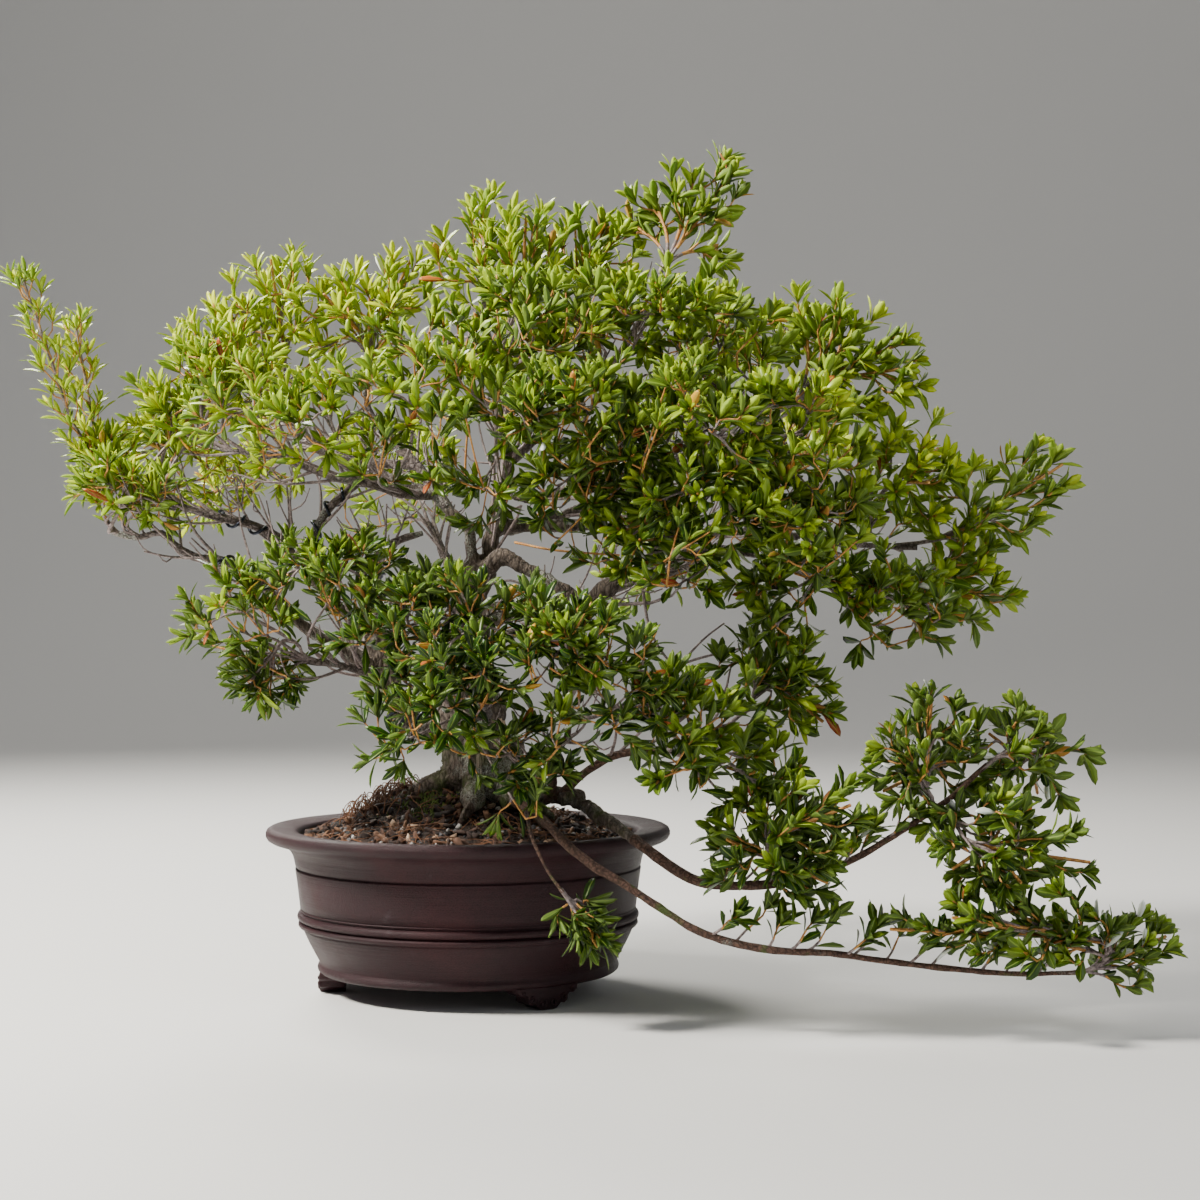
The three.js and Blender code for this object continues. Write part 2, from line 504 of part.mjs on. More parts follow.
// Side shoots leave the stem between its waist and its lowest leaves. They are set round it by the
// golden angle, in a cloud flatter than it is wide. The first leaves and ends highest up the stem, and
// each next one lower down.
const CLOUD_FLATNESS = 0.75;
const TURN_BETWEEN_TUFTS = 2.2;
const LEAVES_AT = { highest: 0.85, drop: 0.6 };
const ENDS_AT = { highest: 0.8, drop: 0.45 };
const NEARLY_UPRIGHT = 0.97;

function sideShoots(stations, [, , , spread, count], index) {
  const [waist, lowest, highest] = [stations[1].at, stations[2].at, stations.at(-1).at];
  const heading = highest.clone().sub(waist).normalize();
  const helper = Math.abs(heading.z) < NEARLY_UPRIGHT ? UP : XAXIS;
  const side = new THREE.Vector3().crossVectors(heading, helper).normalize();
  const over = new THREE.Vector3().crossVectors(side, heading).normalize();
  return Array.from({ length: spread ? count - 2 : 0 }, (_, i) => {
    const angle = index * TURN_BETWEEN_TUFTS + i * GOLDEN_ANGLE;
    const out = side.clone().multiplyScalar(Math.cos(angle));
    out.addScaledVector(over, CLOUD_FLATNESS * Math.sin(angle));
    const from = waist.clone().lerp(lowest, LEAVES_AT.highest - LEAVES_AT.drop * i / count);
    const to = waist.clone().lerp(highest, ENDS_AT.highest - ENDS_AT.drop * i / count);
    to.addScaledVector(out, spread);
    return { from, to, axis: to.clone().sub(from).normalize() };
  });
}

// A side shoot turns up to the light at its tip.
const PULL_OF_LIGHT = 0.8;

function sideStations({ from, to, axis }, { length, lean, lift }) {
  const up = axis.clone().addScaledVector(UP, PULL_OF_LIGHT).normalize();
  const tip = to.clone().addScaledVector(UP, lift);
  return [
    { at: from, axis, radius: SHOOT_RADIUS },
    { at: tip, axis: up, radius: SHOOT_RADIUS, length, lean },
  ];
}

function boxOf(geometry) {
  geometry.computeBoundingBox();
  return geometry.boundingBox;
}

// Everything that a shoot must stay clear of, with its box for a quick first look.
const occupied = [];

function occupy(owner, solid, geometry) {
  occupied.push({ owner, solid, box: boxOf(geometry) });
}

function isClear(owner, solid, geometry) {
  const box = boxOf(geometry);
  return occupied.every((other) => other.owner === owner
    || !other.box.intersectsBox(box) || !overlaps(other.solid, solid));
}

// A shoot that would cross another is turned, raised and given shorter leaves, more so at each attempt.
const TWISTS = [0, 0.5, 1.0, -0.5, -1.0, 1.6, 0.3, -0.3, 0.8, 1.3];
const SHORTER_EACH_TIME = 0.04;
const STEEPER_EACH_TIME = 0.06;
const HIGHER_EACH_TIME = 4;
const TURN_BETWEEN_SHOOTS = 2.1;

function addShoot(owner, shoots, stationsFor, number) {
  for (const [attempt, twist] of TWISTS.entries()) {
    const stations = stationsFor({
      length: LEAF_LENGTH * (1 - SHORTER_EACH_TIME * attempt),
      lean: LEAF_LEAN + STEEPER_EACH_TIME * attempt,
      lift: HIGHER_EACH_TIME * attempt,
    });
    const geometry = shootGeometry(stations, number * TURN_BETWEEN_SHOOTS + twist);
    const solid = toSolid(geometry);
    const apart = shoots.slice(1).every((other) => !overlaps(other, solid));
    if (apart && isClear(owner, solid, geometry) && geometry.boundingBox.min.z > FLOOR_CLEARANCE) {
      shoots.push(solid);
      occupy(owner, solid, geometry);
      return;
    }
  }
}

// The first tuft's stem starts beside the limb, stepped outwards until it is clear of the wood.
function findFoot(main) {
  const step = FOOT_STEP / main.getLength();
  let foot = 0;
  let inWood = true;
  while (inWood) {
    foot += step;
    const stub = new THREE.LineCurve3(main.getPoint(foot), main.getPoint(FORK_SHARE));
    const solid = toSolid(limbGeometry(stub, () => STEM_RADIUS + GAP, 2 * SIDES, 1));
    inWood = woodParts.some((part) => overlaps(part, solid));
  }
  return foot;
}

function startSpray([name, spray], number) {
  const main = stemCourse(spray);
  const foot = findFoot(main);
  const shoots = [];
  const stationsFor = (leaf) => tuftStations(main, foot, FORK_SHARE, spray.tufts[0], leaf);
  addShoot(name, shoots, stationsFor, number);
  return { name, tufts: spray.tufts, main, foot, shoots };
}

// Each further tuft has a stem of its own from the fork, bare up to its waist.
const FORKED_WAIST = 0.4;

function fillSpray({ name, tufts, main, foot, shoots }, number) {
  const fork = main.getPoint(FORK_SHARE);
  tufts.forEach((tuft, index) => {
    const tip = seen(tuft);
    const along = ALONG_LIMB * fork.distanceTo(tip);
    const bend = fork.clone().addScaledVector(main.getTangent(FORK_SHARE), along);
    const stem = index ? new THREE.QuadraticBezierCurve3(fork, bend, tip) : main;
    const [start, waist] = index ? [0, FORKED_WAIST] : [foot, FORK_SHARE];
    if (index) {
      addShoot(name, shoots, (leaf) => tuftStations(stem, start, waist, tuft, leaf), number + index);
    }
    const stations = tuftStations(stem, start, waist, tuft, { lift: 0 });
    sideShoots(stations, tuft, number + index).forEach((shoot, i) => {
      addShoot(name, shoots, (leaf) => sideStations(shoot, leaf), number + i);
    });
  });
  return join(shoots);
}

// A training wire is wound round a stretch of a limb, from one share of its length to another. It
// follows the limb's own rings, a hair clear of their corners.
const WIRES = {
  wire_low_left: { limb: 'limb_low_left', from: 0.15, to: 0.285, pitch: 12 },
  wire_low_left_top: { limb: 'limb_low_left', from: 0.64, to: 0.86, pitch: 20 },
  wire_left_rising: { limb: 'limb_left_rising', from: 0.5, to: 0.8, pitch: 22 },
  wire_left_lowest: { limb: 'limb_left_lowest', from: 0.44, to: 0.68, pitch: 22 },
  wire_left_crossing: { limb: 'limb_left_crossing', from: 0.3, to: 0.72, pitch: 20 },
};
const WIRE_STEPS_PER_TURN = 7;
const WIRE_PLAY = 0.5;

function makeWire({ limb, from, to, pitch }) {
  const curve = curves[limb];
  const rings = limbSteps(curve);
  const frames = curve.computeFrenetFrames(rings, false);
  const centres = curve.getSpacedPoints(rings);
  const radiusAt = limbTaper(LIMBS[limb]);
  const turns = curve.getLength() * (to - from) / pitch;
  const steps = Math.round(turns * WIRE_STEPS_PER_TURN);
  const course = [];
  for (let i = 0; i <= steps; i += 1) {
    const at = (from + (to - from) * i / steps) * rings;
    const ring = Math.floor(at);
    const angle = 2 * Math.PI * i / WIRE_STEPS_PER_TURN;
    const blend = (vectors) => vectors[ring].clone().lerp(vectors[ring + 1], at - ring);
    const out = blend(frames.normals).normalize().multiplyScalar(Math.cos(angle));
    out.addScaledVector(blend(frames.binormals).normalize(), Math.sin(angle));
    const reach = (radiusAt(at / rings) + GAP) / Math.cos(Math.PI / WIRE_STEPS_PER_TURN);
    course.push(blend(centres).addScaledVector(out, reach + WIRE_RADIUS + WIRE_PLAY));
  }
  const coil = new THREE.CatmullRomCurve3(course);
  return limbGeometry(coil, () => WIRE_RADIUS, SIDES, steps);
}

function makeDrainMesh() {
  const plate = new THREE.CylinderGeometry(MESH_RADIUS, MESH_RADIUS, MESH_THICKNESS, 16);
  plate.rotateX(Math.PI / 2).translate(0, 0, FLOOR_TOP + GAP + MESH_THICKNESS / 2);
  let mesh = toSolid(plate);
  for (const x of [-MESH_HOLE_FROM_MIDDLE, MESH_HOLE_FROM_MIDDLE]) {
    for (const y of [-MESH_HOLE_FROM_MIDDLE, MESH_HOLE_FROM_MIDDLE]) {
      const hole = new THREE.BoxGeometry(MESH_HOLE, MESH_HOLE, 10 * MESH_THICKNESS);
      mesh = mesh.subtract(toSolid(hole.translate(x, y, FLOOR_TOP)));
    }
  }
  return mesh;
}

const CLAY = 0x3b2429;
const MESH_BLACK = 0x202020;
const SOIL_BROWN = 0x3a2519;
const BARK = 0x6d5a4c;
const WIRE_BLACK = 0x15171c;
const LEAF_GREEN = 0x4f7a1e;

const potSolid = makePot();
addPart('pot', potSolid, CLAY, 0.5);
addPart('drain_mesh', makeDrainMesh(), MESH_BLACK, 0.6);

const woodParts = makeWood();
woodParts.forEach((solid) => occupy('wood', solid, toGeometry(solid)));
addPart('wood', join(woodParts), BARK, 0.9);
const soilSolid = makeSoil(makeWood(GAP));
addPart('soil', soilSolid, SOIL_BROWN, 0.95);

for (const [name, wire] of Object.entries(WIRES)) {
  const geometry = makeWire(wire);
  const solid = toSolid(geometry);
  occupy(name, solid, geometry);
  addPart(name, solid, WIRE_BLACK, 0.35, 0.9);
}

occupy('pot', potSolid, toGeometry(potSolid));
occupy('soil', soilSolid, toGeometry(soilSolid));
const sprays = Object.entries(SPRAYS).map(startSpray);
sprays.forEach((spray, number) => {
  addPart(`spray_${spray.name}`, fillSpray(spray, number), LEAF_GREEN, 0.5);
});

const whole = new THREE.Box3().setFromObject(group);
const middle = whole.getCenter(new THREE.Vector3());
group.children.forEach((mesh) => mesh.geometry.translate(-middle.x, -middle.y, -whole.min.z));

export default group;
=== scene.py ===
# %% [markdown]
# # An azalea bonsai in its clay pot
#
# The tree was trained for decades: a thick leaning base, wired limbs on the left, a wide crown of
# small evergreen leaves, and two long branches that trail low to the right. It could be sculpted by
# hand, but a plant is easier to believe when it follows its own rules. So the limbs are listed
# courses, and the twigs and leaves grow from them by rule, with every random draw seeded.

# %% Load the frame
import math

import bmesh
import bpy
import numpy as np
from mathutils import Matrix, Vector, noise


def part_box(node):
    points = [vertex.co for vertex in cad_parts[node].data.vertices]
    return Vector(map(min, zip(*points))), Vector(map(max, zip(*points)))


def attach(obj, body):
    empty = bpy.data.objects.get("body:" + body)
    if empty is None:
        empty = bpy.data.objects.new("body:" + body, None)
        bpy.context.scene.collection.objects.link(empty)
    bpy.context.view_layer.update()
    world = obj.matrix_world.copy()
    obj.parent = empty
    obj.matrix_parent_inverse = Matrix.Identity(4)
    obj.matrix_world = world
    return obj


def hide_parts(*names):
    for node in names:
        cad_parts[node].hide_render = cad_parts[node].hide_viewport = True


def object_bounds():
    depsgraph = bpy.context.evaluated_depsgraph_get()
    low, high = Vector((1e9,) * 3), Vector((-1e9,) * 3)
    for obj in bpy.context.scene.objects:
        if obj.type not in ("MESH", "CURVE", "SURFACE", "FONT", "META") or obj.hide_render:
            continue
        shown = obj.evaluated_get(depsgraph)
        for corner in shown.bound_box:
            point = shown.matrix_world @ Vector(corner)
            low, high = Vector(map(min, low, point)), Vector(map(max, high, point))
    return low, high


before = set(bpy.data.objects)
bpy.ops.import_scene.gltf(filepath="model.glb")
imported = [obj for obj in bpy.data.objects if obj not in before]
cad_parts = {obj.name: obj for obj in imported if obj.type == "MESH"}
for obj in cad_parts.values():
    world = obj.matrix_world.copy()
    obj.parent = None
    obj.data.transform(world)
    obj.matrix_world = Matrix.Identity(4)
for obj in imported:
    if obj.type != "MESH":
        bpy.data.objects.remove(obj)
cad_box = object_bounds()
print("nodes:", len(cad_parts))

# %% [markdown]
# Everything is laid out round the pot's upright axis, because that is how a pot is turned and how a
# tree is potted. The axis comes from the frame. Lengths in the tables are millimetres.

# %% The pot's axis
MM = 0.001
UP = np.array([0.0, 0.0, 1.0])
pot_low, pot_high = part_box("pot")
AXIS = np.array([(pot_low.x + pot_high.x) / 2, (pot_low.y + pot_high.y) / 2, 0.0])
POT_RADIUS = (pot_high.y - pot_low.y) / 2 / MM
POT_HEIGHT = pot_high.z / MM
print("pot", round(2 * POT_RADIUS), "mm wide and", round(POT_HEIGHT, 1), "mm high")

# %% [markdown]
# The tree was measured in the front view, so a place is written (x, z, depth): how far right and how
# high it is seen on the upright plane through the axis, and how far behind that plane it really is.
# A near place is drawn in towards the eye, which keeps the front view as measured.

# %% From the front view to real places
EYE = np.array([114.0, -2085.0, 338.0])


def seen(places):
    x, z, depth = np.array(places, float).reshape(-1, 3).T
    spread = (depth - EYE[1]) / -EYE[1]
    across = EYE[0] + (x - EYE[0]) * spread
    up = EYE[2] + (z - EYE[2]) * spread
    return np.stack([across, depth, up], axis=1) * MM + AXIS


print("eye at", np.round(EYE * MM + AXIS, 3))

# %% [markdown]
# The camera stands where the photographer stood, level with the middle of the crown. A long lens
# keeps the pot's rim nearly flat.

# %% Camera
LENS_SHARE = 2.0
SENSOR = 36.0
camera_data = bpy.data.cameras.new("camera")
camera_data.sensor_width = SENSOR
camera_data.lens = SENSOR * LENS_SHARE
camera = bpy.data.objects.new("camera", camera_data)
camera.location = Vector(EYE * MM + AXIS)
camera.rotation_euler = (math.pi / 2, 0, 0)
bpy.context.scene.collection.objects.link(camera)
bpy.context.scene.camera = camera
print("lens", camera_data.lens, "mm")

# %% [markdown]
# Every piece is one mesh. A finished piece rides on the part's only body and stands in for its
# solid where it has one.

# %% Small helpers for objects
WELD = 1e-6


def link(name, mesh, *materials):
    piece = bpy.data.objects.new(name, mesh)
    bpy.context.scene.collection.objects.link(piece)
    for material in materials:
        mesh.materials.append(material)
    return piece


def faces_out(bm):
    bmesh.ops.remove_doubles(bm, verts=bm.verts, dist=WELD)
    bmesh.ops.recalc_face_normals(bm, faces=bm.faces)


def to_mesh(bm, name, smooth=True):
    mesh = bpy.data.meshes.new(name)
    bm.to_mesh(mesh)
    bm.free()
    mesh.polygons.foreach_set("use_smooth", [smooth] * len(mesh.polygons))
    return mesh


def finished(piece, slot, *nodes):
    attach(piece, "root")
    if nodes:
        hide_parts(*nodes)
    print(piece.name, len(piece.data.polygons), "faces")
    return piece


# %% [markdown]
# A material is a small graph. One helper adds a node and fills its sockets, with a link where the
# value is another node's output. A second lays colours along a ramp.

# %% Small helpers for materials
def new_material(name, roughness, **constants):
    material = bpy.data.materials.new(name)
    material.use_nodes = True
    shader = material.node_tree.nodes["Principled BSDF"]
    shader.inputs["Roughness"].default_value = roughness
    for key, value in constants.items():
        shader.inputs[key.replace("_", " ")].default_value = value
    return material


def fill(material, socket, value):
    if isinstance(value, bpy.types.NodeSocket):
        material.node_tree.links.new(value, socket)
    else:
        socket.default_value = value


def add(material, kind, sockets, **settings):
    node = material.node_tree.nodes.new(kind)
    for key, value in settings.items():
        setattr(node, key, value)
    for key, value in sockets.items():
        fill(material, node.inputs[key], value)
    return node


def place(material, scale=(1, 1, 1)):
    coordinates = add(material, "ShaderNodeTexCoord", {})
    sockets = {"Vector": coordinates.outputs["Object"], "Scale": scale}
    return add(material, "ShaderNodeMapping", sockets).outputs["Vector"]


def speckle(material, vector, scale, detail=4.0, roughness=0.6):
    sockets = {"Vector": vector, "Scale": scale, "Detail": detail, "Roughness": roughness}
    return add(material, "ShaderNodeTexNoise", sockets).outputs["Fac"]


def cells(material, vector, scale, feature="F1"):
    sockets = {"Vector": vector, "Scale": scale}
    return add(material, "ShaderNodeTexVoronoi", sockets, feature=feature).outputs["Distance"]


def ramp(material, factor, *stops):
    node = add(material, "ShaderNodeValToRGB", {"Fac": factor})
    elements = node.color_ramp.elements
    while len(elements) < len(stops):
        elements.new(1.0)
    for element, (position, color) in zip(elements, stops):
        element.position = position
        element.color = (*color, 1.0)
    return node.outputs["Color"]


def level(material, factor, low, high):
    sockets = {"Value": factor, "From Min": low, "From Max": high}
    return add(material, "ShaderNodeMapRange", sockets, clamp=True).outputs["Result"]


def mix(material, factor, one, other, blend="MIX"):
    node = add(material, "ShaderNodeMix", {}, data_type="RGBA", blend_type=blend)
    fill(material, node.inputs[0], factor)
    for socket, value in ((node.inputs[6], one), (node.inputs[7], other)):
        fill(material, socket, (*value, 1.0) if isinstance(value, tuple) else value)
    return node.outputs[2]


def calculate(material, operation, one, other=0.5):
    node = add(material, "ShaderNodeMath", {}, operation=operation)
    fill(material, node.inputs[0], one)
    fill(material, node.inputs[1], other)
    return node.outputs[0]


def dress(material, color, roughness=None, height=None, distance=0.001, strength=1.0):
    shader = material.node_tree.nodes["Principled BSDF"]
    fill(material, shader.inputs["Base Color"], color)
    if roughness is not None:
        fill(material, shader.inputs["Roughness"], roughness)
    if height is not None:
        sockets = {"Height": height, "Distance": distance, "Strength": strength}
        bump = add(material, "ShaderNodeBump", sockets)
        fill(material, shader.inputs["Normal"], bump.outputs["Normal"])
    return material


# %% [markdown]
# A studio sweep: a pale floor that curves up far behind, one soft light high on the left for the
# bright side of the crown, a weaker one on the right, and one behind that edges the leaves.

# %% The floor and the lights
FLOOR_SIZE = 9.0
SWEEP_BACK = 6.0
SWEEP_HEIGHT = 9.0
SWEEP_RADIUS = 2.6
SWEEP_SEGMENTS = 24
PAPER_COLOR = (0.66, 0.655, 0.64, 1.0)
SKY_COLOR = (0.78, 0.8, 0.84, 1.0)
SKY_STRENGTH = 0.25
floor_bm = bmesh.new()
near_edge = [floor_bm.verts.new((x, -FLOOR_SIZE, 0)) for x in (-FLOOR_SIZE, FLOOR_SIZE)]
floor_edge = floor_bm.edges.new(near_edge)
for step in ((0, FLOOR_SIZE + SWEEP_BACK, 0), (0, 0, SWEEP_HEIGHT)):
    grown = bmesh.ops.extrude_edge_only(floor_bm, edges=[floor_edge])["geom"]
    grown_verts = [item for item in grown if isinstance(item, bmesh.types.BMVert)]
    bmesh.ops.translate(floor_bm, verts=grown_verts, vec=step)
    floor_edge = next(edge for edge in floor_bm.edges if set(edge.verts) == set(grown_verts))
fold = [edge for edge in floor_bm.edges if len(edge.link_faces) == 2]
bmesh.ops.bevel(
    floor_bm, geom=fold, offset=SWEEP_RADIUS, segments=SWEEP_SEGMENTS, profile=0.5, affect="EDGES",
    material=-1)
floor_paper = new_material("studio_paper", 0.8)
dress(floor_paper, PAPER_COLOR)
floor = link("studio_floor", to_mesh(floor_bm, "studio_floor"), floor_paper)

world = bpy.data.worlds.new("studio")
world.use_nodes = True
sky = world.node_tree.nodes["Background"].inputs
sky["Color"].default_value = SKY_COLOR
sky["Strength"].default_value = SKY_STRENGTH
bpy.context.scene.world = world

LIGHTS = {
    "key": {"place": (-1.7, -0.7, 2.1), "size": 0.6, "watts": 205, "color": (1.0, 0.96, 0.88)},
    "fill": {"place": (1.9, -1.5, 1.3), "size": 1.4, "watts": 22, "color": (0.93, 0.96, 1.0)},
    "edge": {"place": (-0.9, 1.7, 1.9), "size": 1.0, "watts": 80, "color": (1.0, 0.97, 0.9)},
}
CROWN_MIDDLE = Vector(AXIS) + Vector((0.05, 0, 0.38))
for name, light in LIGHTS.items():
    data = bpy.data.lights.new(name, "AREA")
    data.shape = "DISK"
    data.size = light["size"]
    data.energy = light["watts"]
    data.color = light["color"]
    lamp = bpy.data.objects.new(name, data)
    lamp.location = Vector(AXIS) + Vector(light["place"])
    lamp.rotation_euler = (CROWN_MIDDLE - lamp.location).to_track_quat("-Z", "Y").to_euler()
    bpy.context.scene.collection.objects.link(lamp)
print(len(LIGHTS), "lights")

# %% [markdown]
# The pot is fired stoneware with no glaze: a purple-brown body, a thick rolled rim, a hollow neck,
# two rounded beads and a foot ring. It was thrown on a wheel, so its outline is spun round the axis.

# %% The pot's outline
RIM_OUTLINE = [
    (166.0, 130.0), (170.0, 130.5), (173.2, 132.4), (174.8, 135.2), (174.9, 138.0),
    (173.8, 140.6), (171.2, 142.2), (168.0, 142.4), (160.0, 141.6), (152.0, 140.6),
    (148.2, 139.6), (146.2, 137.4), (145.2, 133.0)]
WALL_OUTLINE = [
    (11.0, 17.5), (60.0, 17.5), (118.0, 17.6), (124.0, 17.7), (128.0, 18.4), (130.0, 20.2),
    (130.5, 22.2), (129.9, 24.4), (128.8, 26.2), (128.9, 27.6), (131.0, 31.5), (134.5, 38.0),
    (138.0, 44.6), (140.8, 50.6), (142.6, 54.6), (142.7, 55.6), (142.4, 56.4), (143.6, 56.8),
    (146.0, 57.5), (147.0, 59.0), (146.8, 60.6), (145.4, 61.8), (143.2, 62.2), (143.0, 62.8),
    (145.6, 63.2), (147.4, 64.4), (147.9, 66.4), (147.2, 68.4), (145.4, 69.4), (143.6, 69.6),
    (143.8, 71.0), (145.2, 71.4), (145.4, 72.2), (144.4, 72.8), (144.5, 73.4), (145.4, 73.8),
    (146.4, 82.0), (147.8, 94.0), (149.6, 106.4), (149.4, 107.2), (147.6, 107.6), (147.6, 108.8),
    (149.4, 109.2), (150.2, 113.0), (151.6, 118.6), (154.0, 123.2), (157.6, 126.4), (162.0, 128.4)]
INSIDE_OUTLINE = [(139.5, 108.0), (133.5, 66.0), (124.0, 40.0), (112.0, 29.0), (11.0, 29.0)]
POT_STEPS = 160


def spun(outline, steps):
    bm = bmesh.new()
    verts = [bm.verts.new(Vector(AXIS) + Vector((r * MM, 0, z * MM))) for r, z in outline]
    edges = [bm.edges.new(pair) for pair in zip(verts, verts[1:])]
    bmesh.ops.spin(
        bm, geom=verts + edges, cent=Vector(AXIS), axis=(0, 0, 1), angle=2 * math.pi,
        steps=steps, use_merge=True)
    faces_out(bm)
    return bm


pot_outline = WALL_OUTLINE + RIM_OUTLINE + INSIDE_OUTLINE
pot_bm = spun(pot_outline + pot_outline[:1], POT_STEPS)
print("outline of", len(pot_outline), "points")

# %% [markdown]
# Three cloud feet carry it. Each is a thick slab whose lower edge is scalloped, with scrolls that
# stand out of its face. The slab is an outline pushed back, and the scrolls are round rolls of clay
# laid along spirals, as the potter does it.

# %% The cloud feet
FOOT_ANGLES = (184, 304, 64)
FOOT_OUTER = 128.0
FOOT_THICKNESS = 22.0
FOOT_SHARP = 1.2
FOOT_ROUNDING = 0.9
FOOT_EDGE = [
    (-29, 19.5), (-28.5, 15), (-25, 12.4), (-21, 12.8), (-18.5, 10.2), (-18.8, 6.6), (-16, 4.6),
    (-12.5, 5.4), (-10.8, 3.2), (-8.4, 0.9), (-5, 0), (5, 0), (8.4, 0.9), (10.8, 3.2), (12.5, 5.4),
    (16, 4.6), (18.8, 6.6), (18.5, 10.2), (21, 12.8), (25, 12.4), (28.5, 15), (29, 19.5)]
SCROLLS = [
    {"middle": (-5.2, 5.4), "size": 4.6, "turns": 1.6, "hand": 1},
    {"middle": (5.2, 5.4), "size": 4.6, "turns": 1.6, "hand": -1},
    {"middle": (-15.2, 9.4), "size": 3.8, "turns": 1.4, "hand": 1},
    {"middle": (15.2, 9.4), "size": 3.8, "turns": 1.4, "hand": -1},
    {"middle": (-24.0, 15.4), "size": 2.9, "turns": 1.2, "hand": 1},
    {"middle": (24.0, 15.4), "size": 2.9, "turns": 1.2, "hand": -1}]
SCROLL_STEPS = 16
SCROLL_EYE = 0.16
SCROLL_PROUD = 0.6
SCROLL_SINK = 1.4
SCROLL_RADII = (1.3, 0.7)
SCROLL_FULL_SIZE = 4.0


def foot_place(angle):
    turn = Matrix.Rotation(math.radians(angle) + math.pi / 2, 4, "Z")
    return Matrix.Translation(Vector(AXIS)) @ turn @ Matrix.Scale(MM, 4)


def add_slab(bm, where):
    verts = [bm.verts.new((x, -FOOT_OUTER, z)) for x, z in FOOT_EDGE]
    face = bm.faces.new(verts)
    pushed = bmesh.ops.extrude_face_region(bm, geom=[face])["geom"]
    moved = [item for item in pushed if isinstance(item, bmesh.types.BMVert)]
    bmesh.ops.translate(bm, verts=moved, vec=(0, FOOT_THICKNESS, 0))
    bmesh.ops.recalc_face_normals(bm, faces=bm.faces)
    bmesh.ops.bevel(
        bm, geom=[edge for edge in bm.edges if edge.calc_face_angle(0) > FOOT_SHARP],
        offset=FOOT_ROUNDING, segments=2, profile=0.5, affect="EDGES", material=-1)
    bmesh.ops.transform(bm, matrix=where, verts=bm.verts)


def spiral(scroll):
    x, z = scroll["middle"]
    points = []
    for step in range(SCROLL_STEPS + 1):
        share = step / SCROLL_STEPS
        reach = scroll["size"] * (SCROLL_EYE + (1 - SCROLL_EYE) * share)
        angle = scroll["hand"] * (2 * math.pi * scroll["turns"] * share) + math.pi / 2
        out = -FOOT_OUTER - SCROLL_PROUD + SCROLL_SINK * share * share
        points.append((x + reach * math.cos(angle), out, z + reach * math.sin(angle)))
    return np.array(points)


feet_bm = bmesh.new()
for foot_angle in FOOT_ANGLES:
    one_foot = bmesh.new()
    add_slab(one_foot, foot_place(foot_angle))
    foot_mesh = to_mesh(one_foot, "foot")
    feet_bm.from_mesh(foot_mesh)
    bpy.data.meshes.remove(foot_mesh)
print("feet of", len(feet_bm.faces), "faces")

# %% [markdown]
# Rolls of clay, twigs, limbs, wires and root fibres are all tubes along a line, so one helper makes
# them. It fills a curve with bevelled splines, each point with its own radius, and turns it to mesh.

# %% Tubes along lines
def tubes(name, strands, rounding, materials=()):
    curve = bpy.data.curves.new(name, "CURVE")
    for material in materials:
        curve.materials.append(material)
    curve.dimensions = "3D"
    curve.bevel_depth = 1.0
    curve.bevel_resolution = rounding
    curve.use_fill_caps = True
    for strand in strands:
        points, radii = strand[:2]
        spline = curve.splines.new("POLY")
        spline.points.add(len(points) - 1)
        with_weight = np.concatenate([points, np.ones((len(points), 1))], axis=1)
        spline.points.foreach_set("co", with_weight.ravel())
        spline.points.foreach_set("radius", np.broadcast_to(radii, len(points)).ravel())
        spline.material_index = strand[2] if len(strand) > 2 else 0
        spline.use_smooth = True
    piece = bpy.data.objects.new(name, curve)
    bpy.context.scene.collection.objects.link(piece)
    bpy.context.view_layer.update()
    shaped = piece.evaluated_get(bpy.context.evaluated_depsgraph_get())
    mesh = bpy.data.meshes.new_from_object(shaped)
    bpy.data.objects.remove(piece)
    bpy.data.curves.remove(curve)
    mesh.name = name
    return mesh


def join_into(bm, mesh):
    bm.from_mesh(mesh)
    bpy.data.meshes.remove(mesh)


scroll_strands = []
for foot_angle in FOOT_ANGLES:
    turn = np.array(foot_place(foot_angle))
    for scroll in SCROLLS:
        line = spiral(scroll)
        world_line = line @ turn[:3, :3].T + turn[:3, 3]
        thickness = np.linspace(*SCROLL_RADII, len(line)) * MM * scroll["size"] / SCROLL_FULL_SIZE
        scroll_strands.append((world_line, thickness))
join_into(feet_bm, tubes("scrolls", scroll_strands, 1))
print(len(scroll_strands), "scrolls")

# %% The clay
clay = new_material("purple_brown_clay", 0.5, Specular_IOR_Level=0.22)
grain = speckle(clay, place(clay), 900.0, 3.0)
turning = speckle(clay, place(clay, (4, 4, 520)), 1.0, 3.0)
blush = speckle(clay, place(clay), 14.0, 5.0)
body_color = ramp(
    clay, blush, (0.3, (0.017, 0.0055, 0.008)), (0.55, (0.028, 0.0085, 0.0112)),
    (0.75, (0.044, 0.0128, 0.0155)))
pitted = ramp(clay, grain, (0.35, (0.45, 0.45, 0.45)), (0.55, (1.0, 1.0, 1.0)))
clay_color = mix(clay, 1.0, body_color, pitted, "MULTIPLY")
salts = level(clay, speckle(clay, place(clay), 60.0, 6.0), 0.62, 0.76)
clay_color = mix(clay, calculate(clay, "MULTIPLY", salts, 0.25), clay_color, (0.1, 0.08, 0.09))
clay_height = calculate(clay, "ADD", grain, calculate(clay, "MULTIPLY", turning, 0.8))
clay_roughness = add(clay, "ShaderNodeMapRange", {
    "Value": blush, "From Min": 0.3, "From Max": 0.7, "To Min": 0.36, "To Max": 0.56})
dress(clay, clay_color, clay_roughness.outputs["Result"], clay_height, 0.001, 0.8)

pot_bm.from_mesh(to_mesh(feet_bm, "feet"))
pot = link("clay_pot", to_mesh(pot_bm, "clay_pot"), clay)
finished(pot, "clay", "pot")

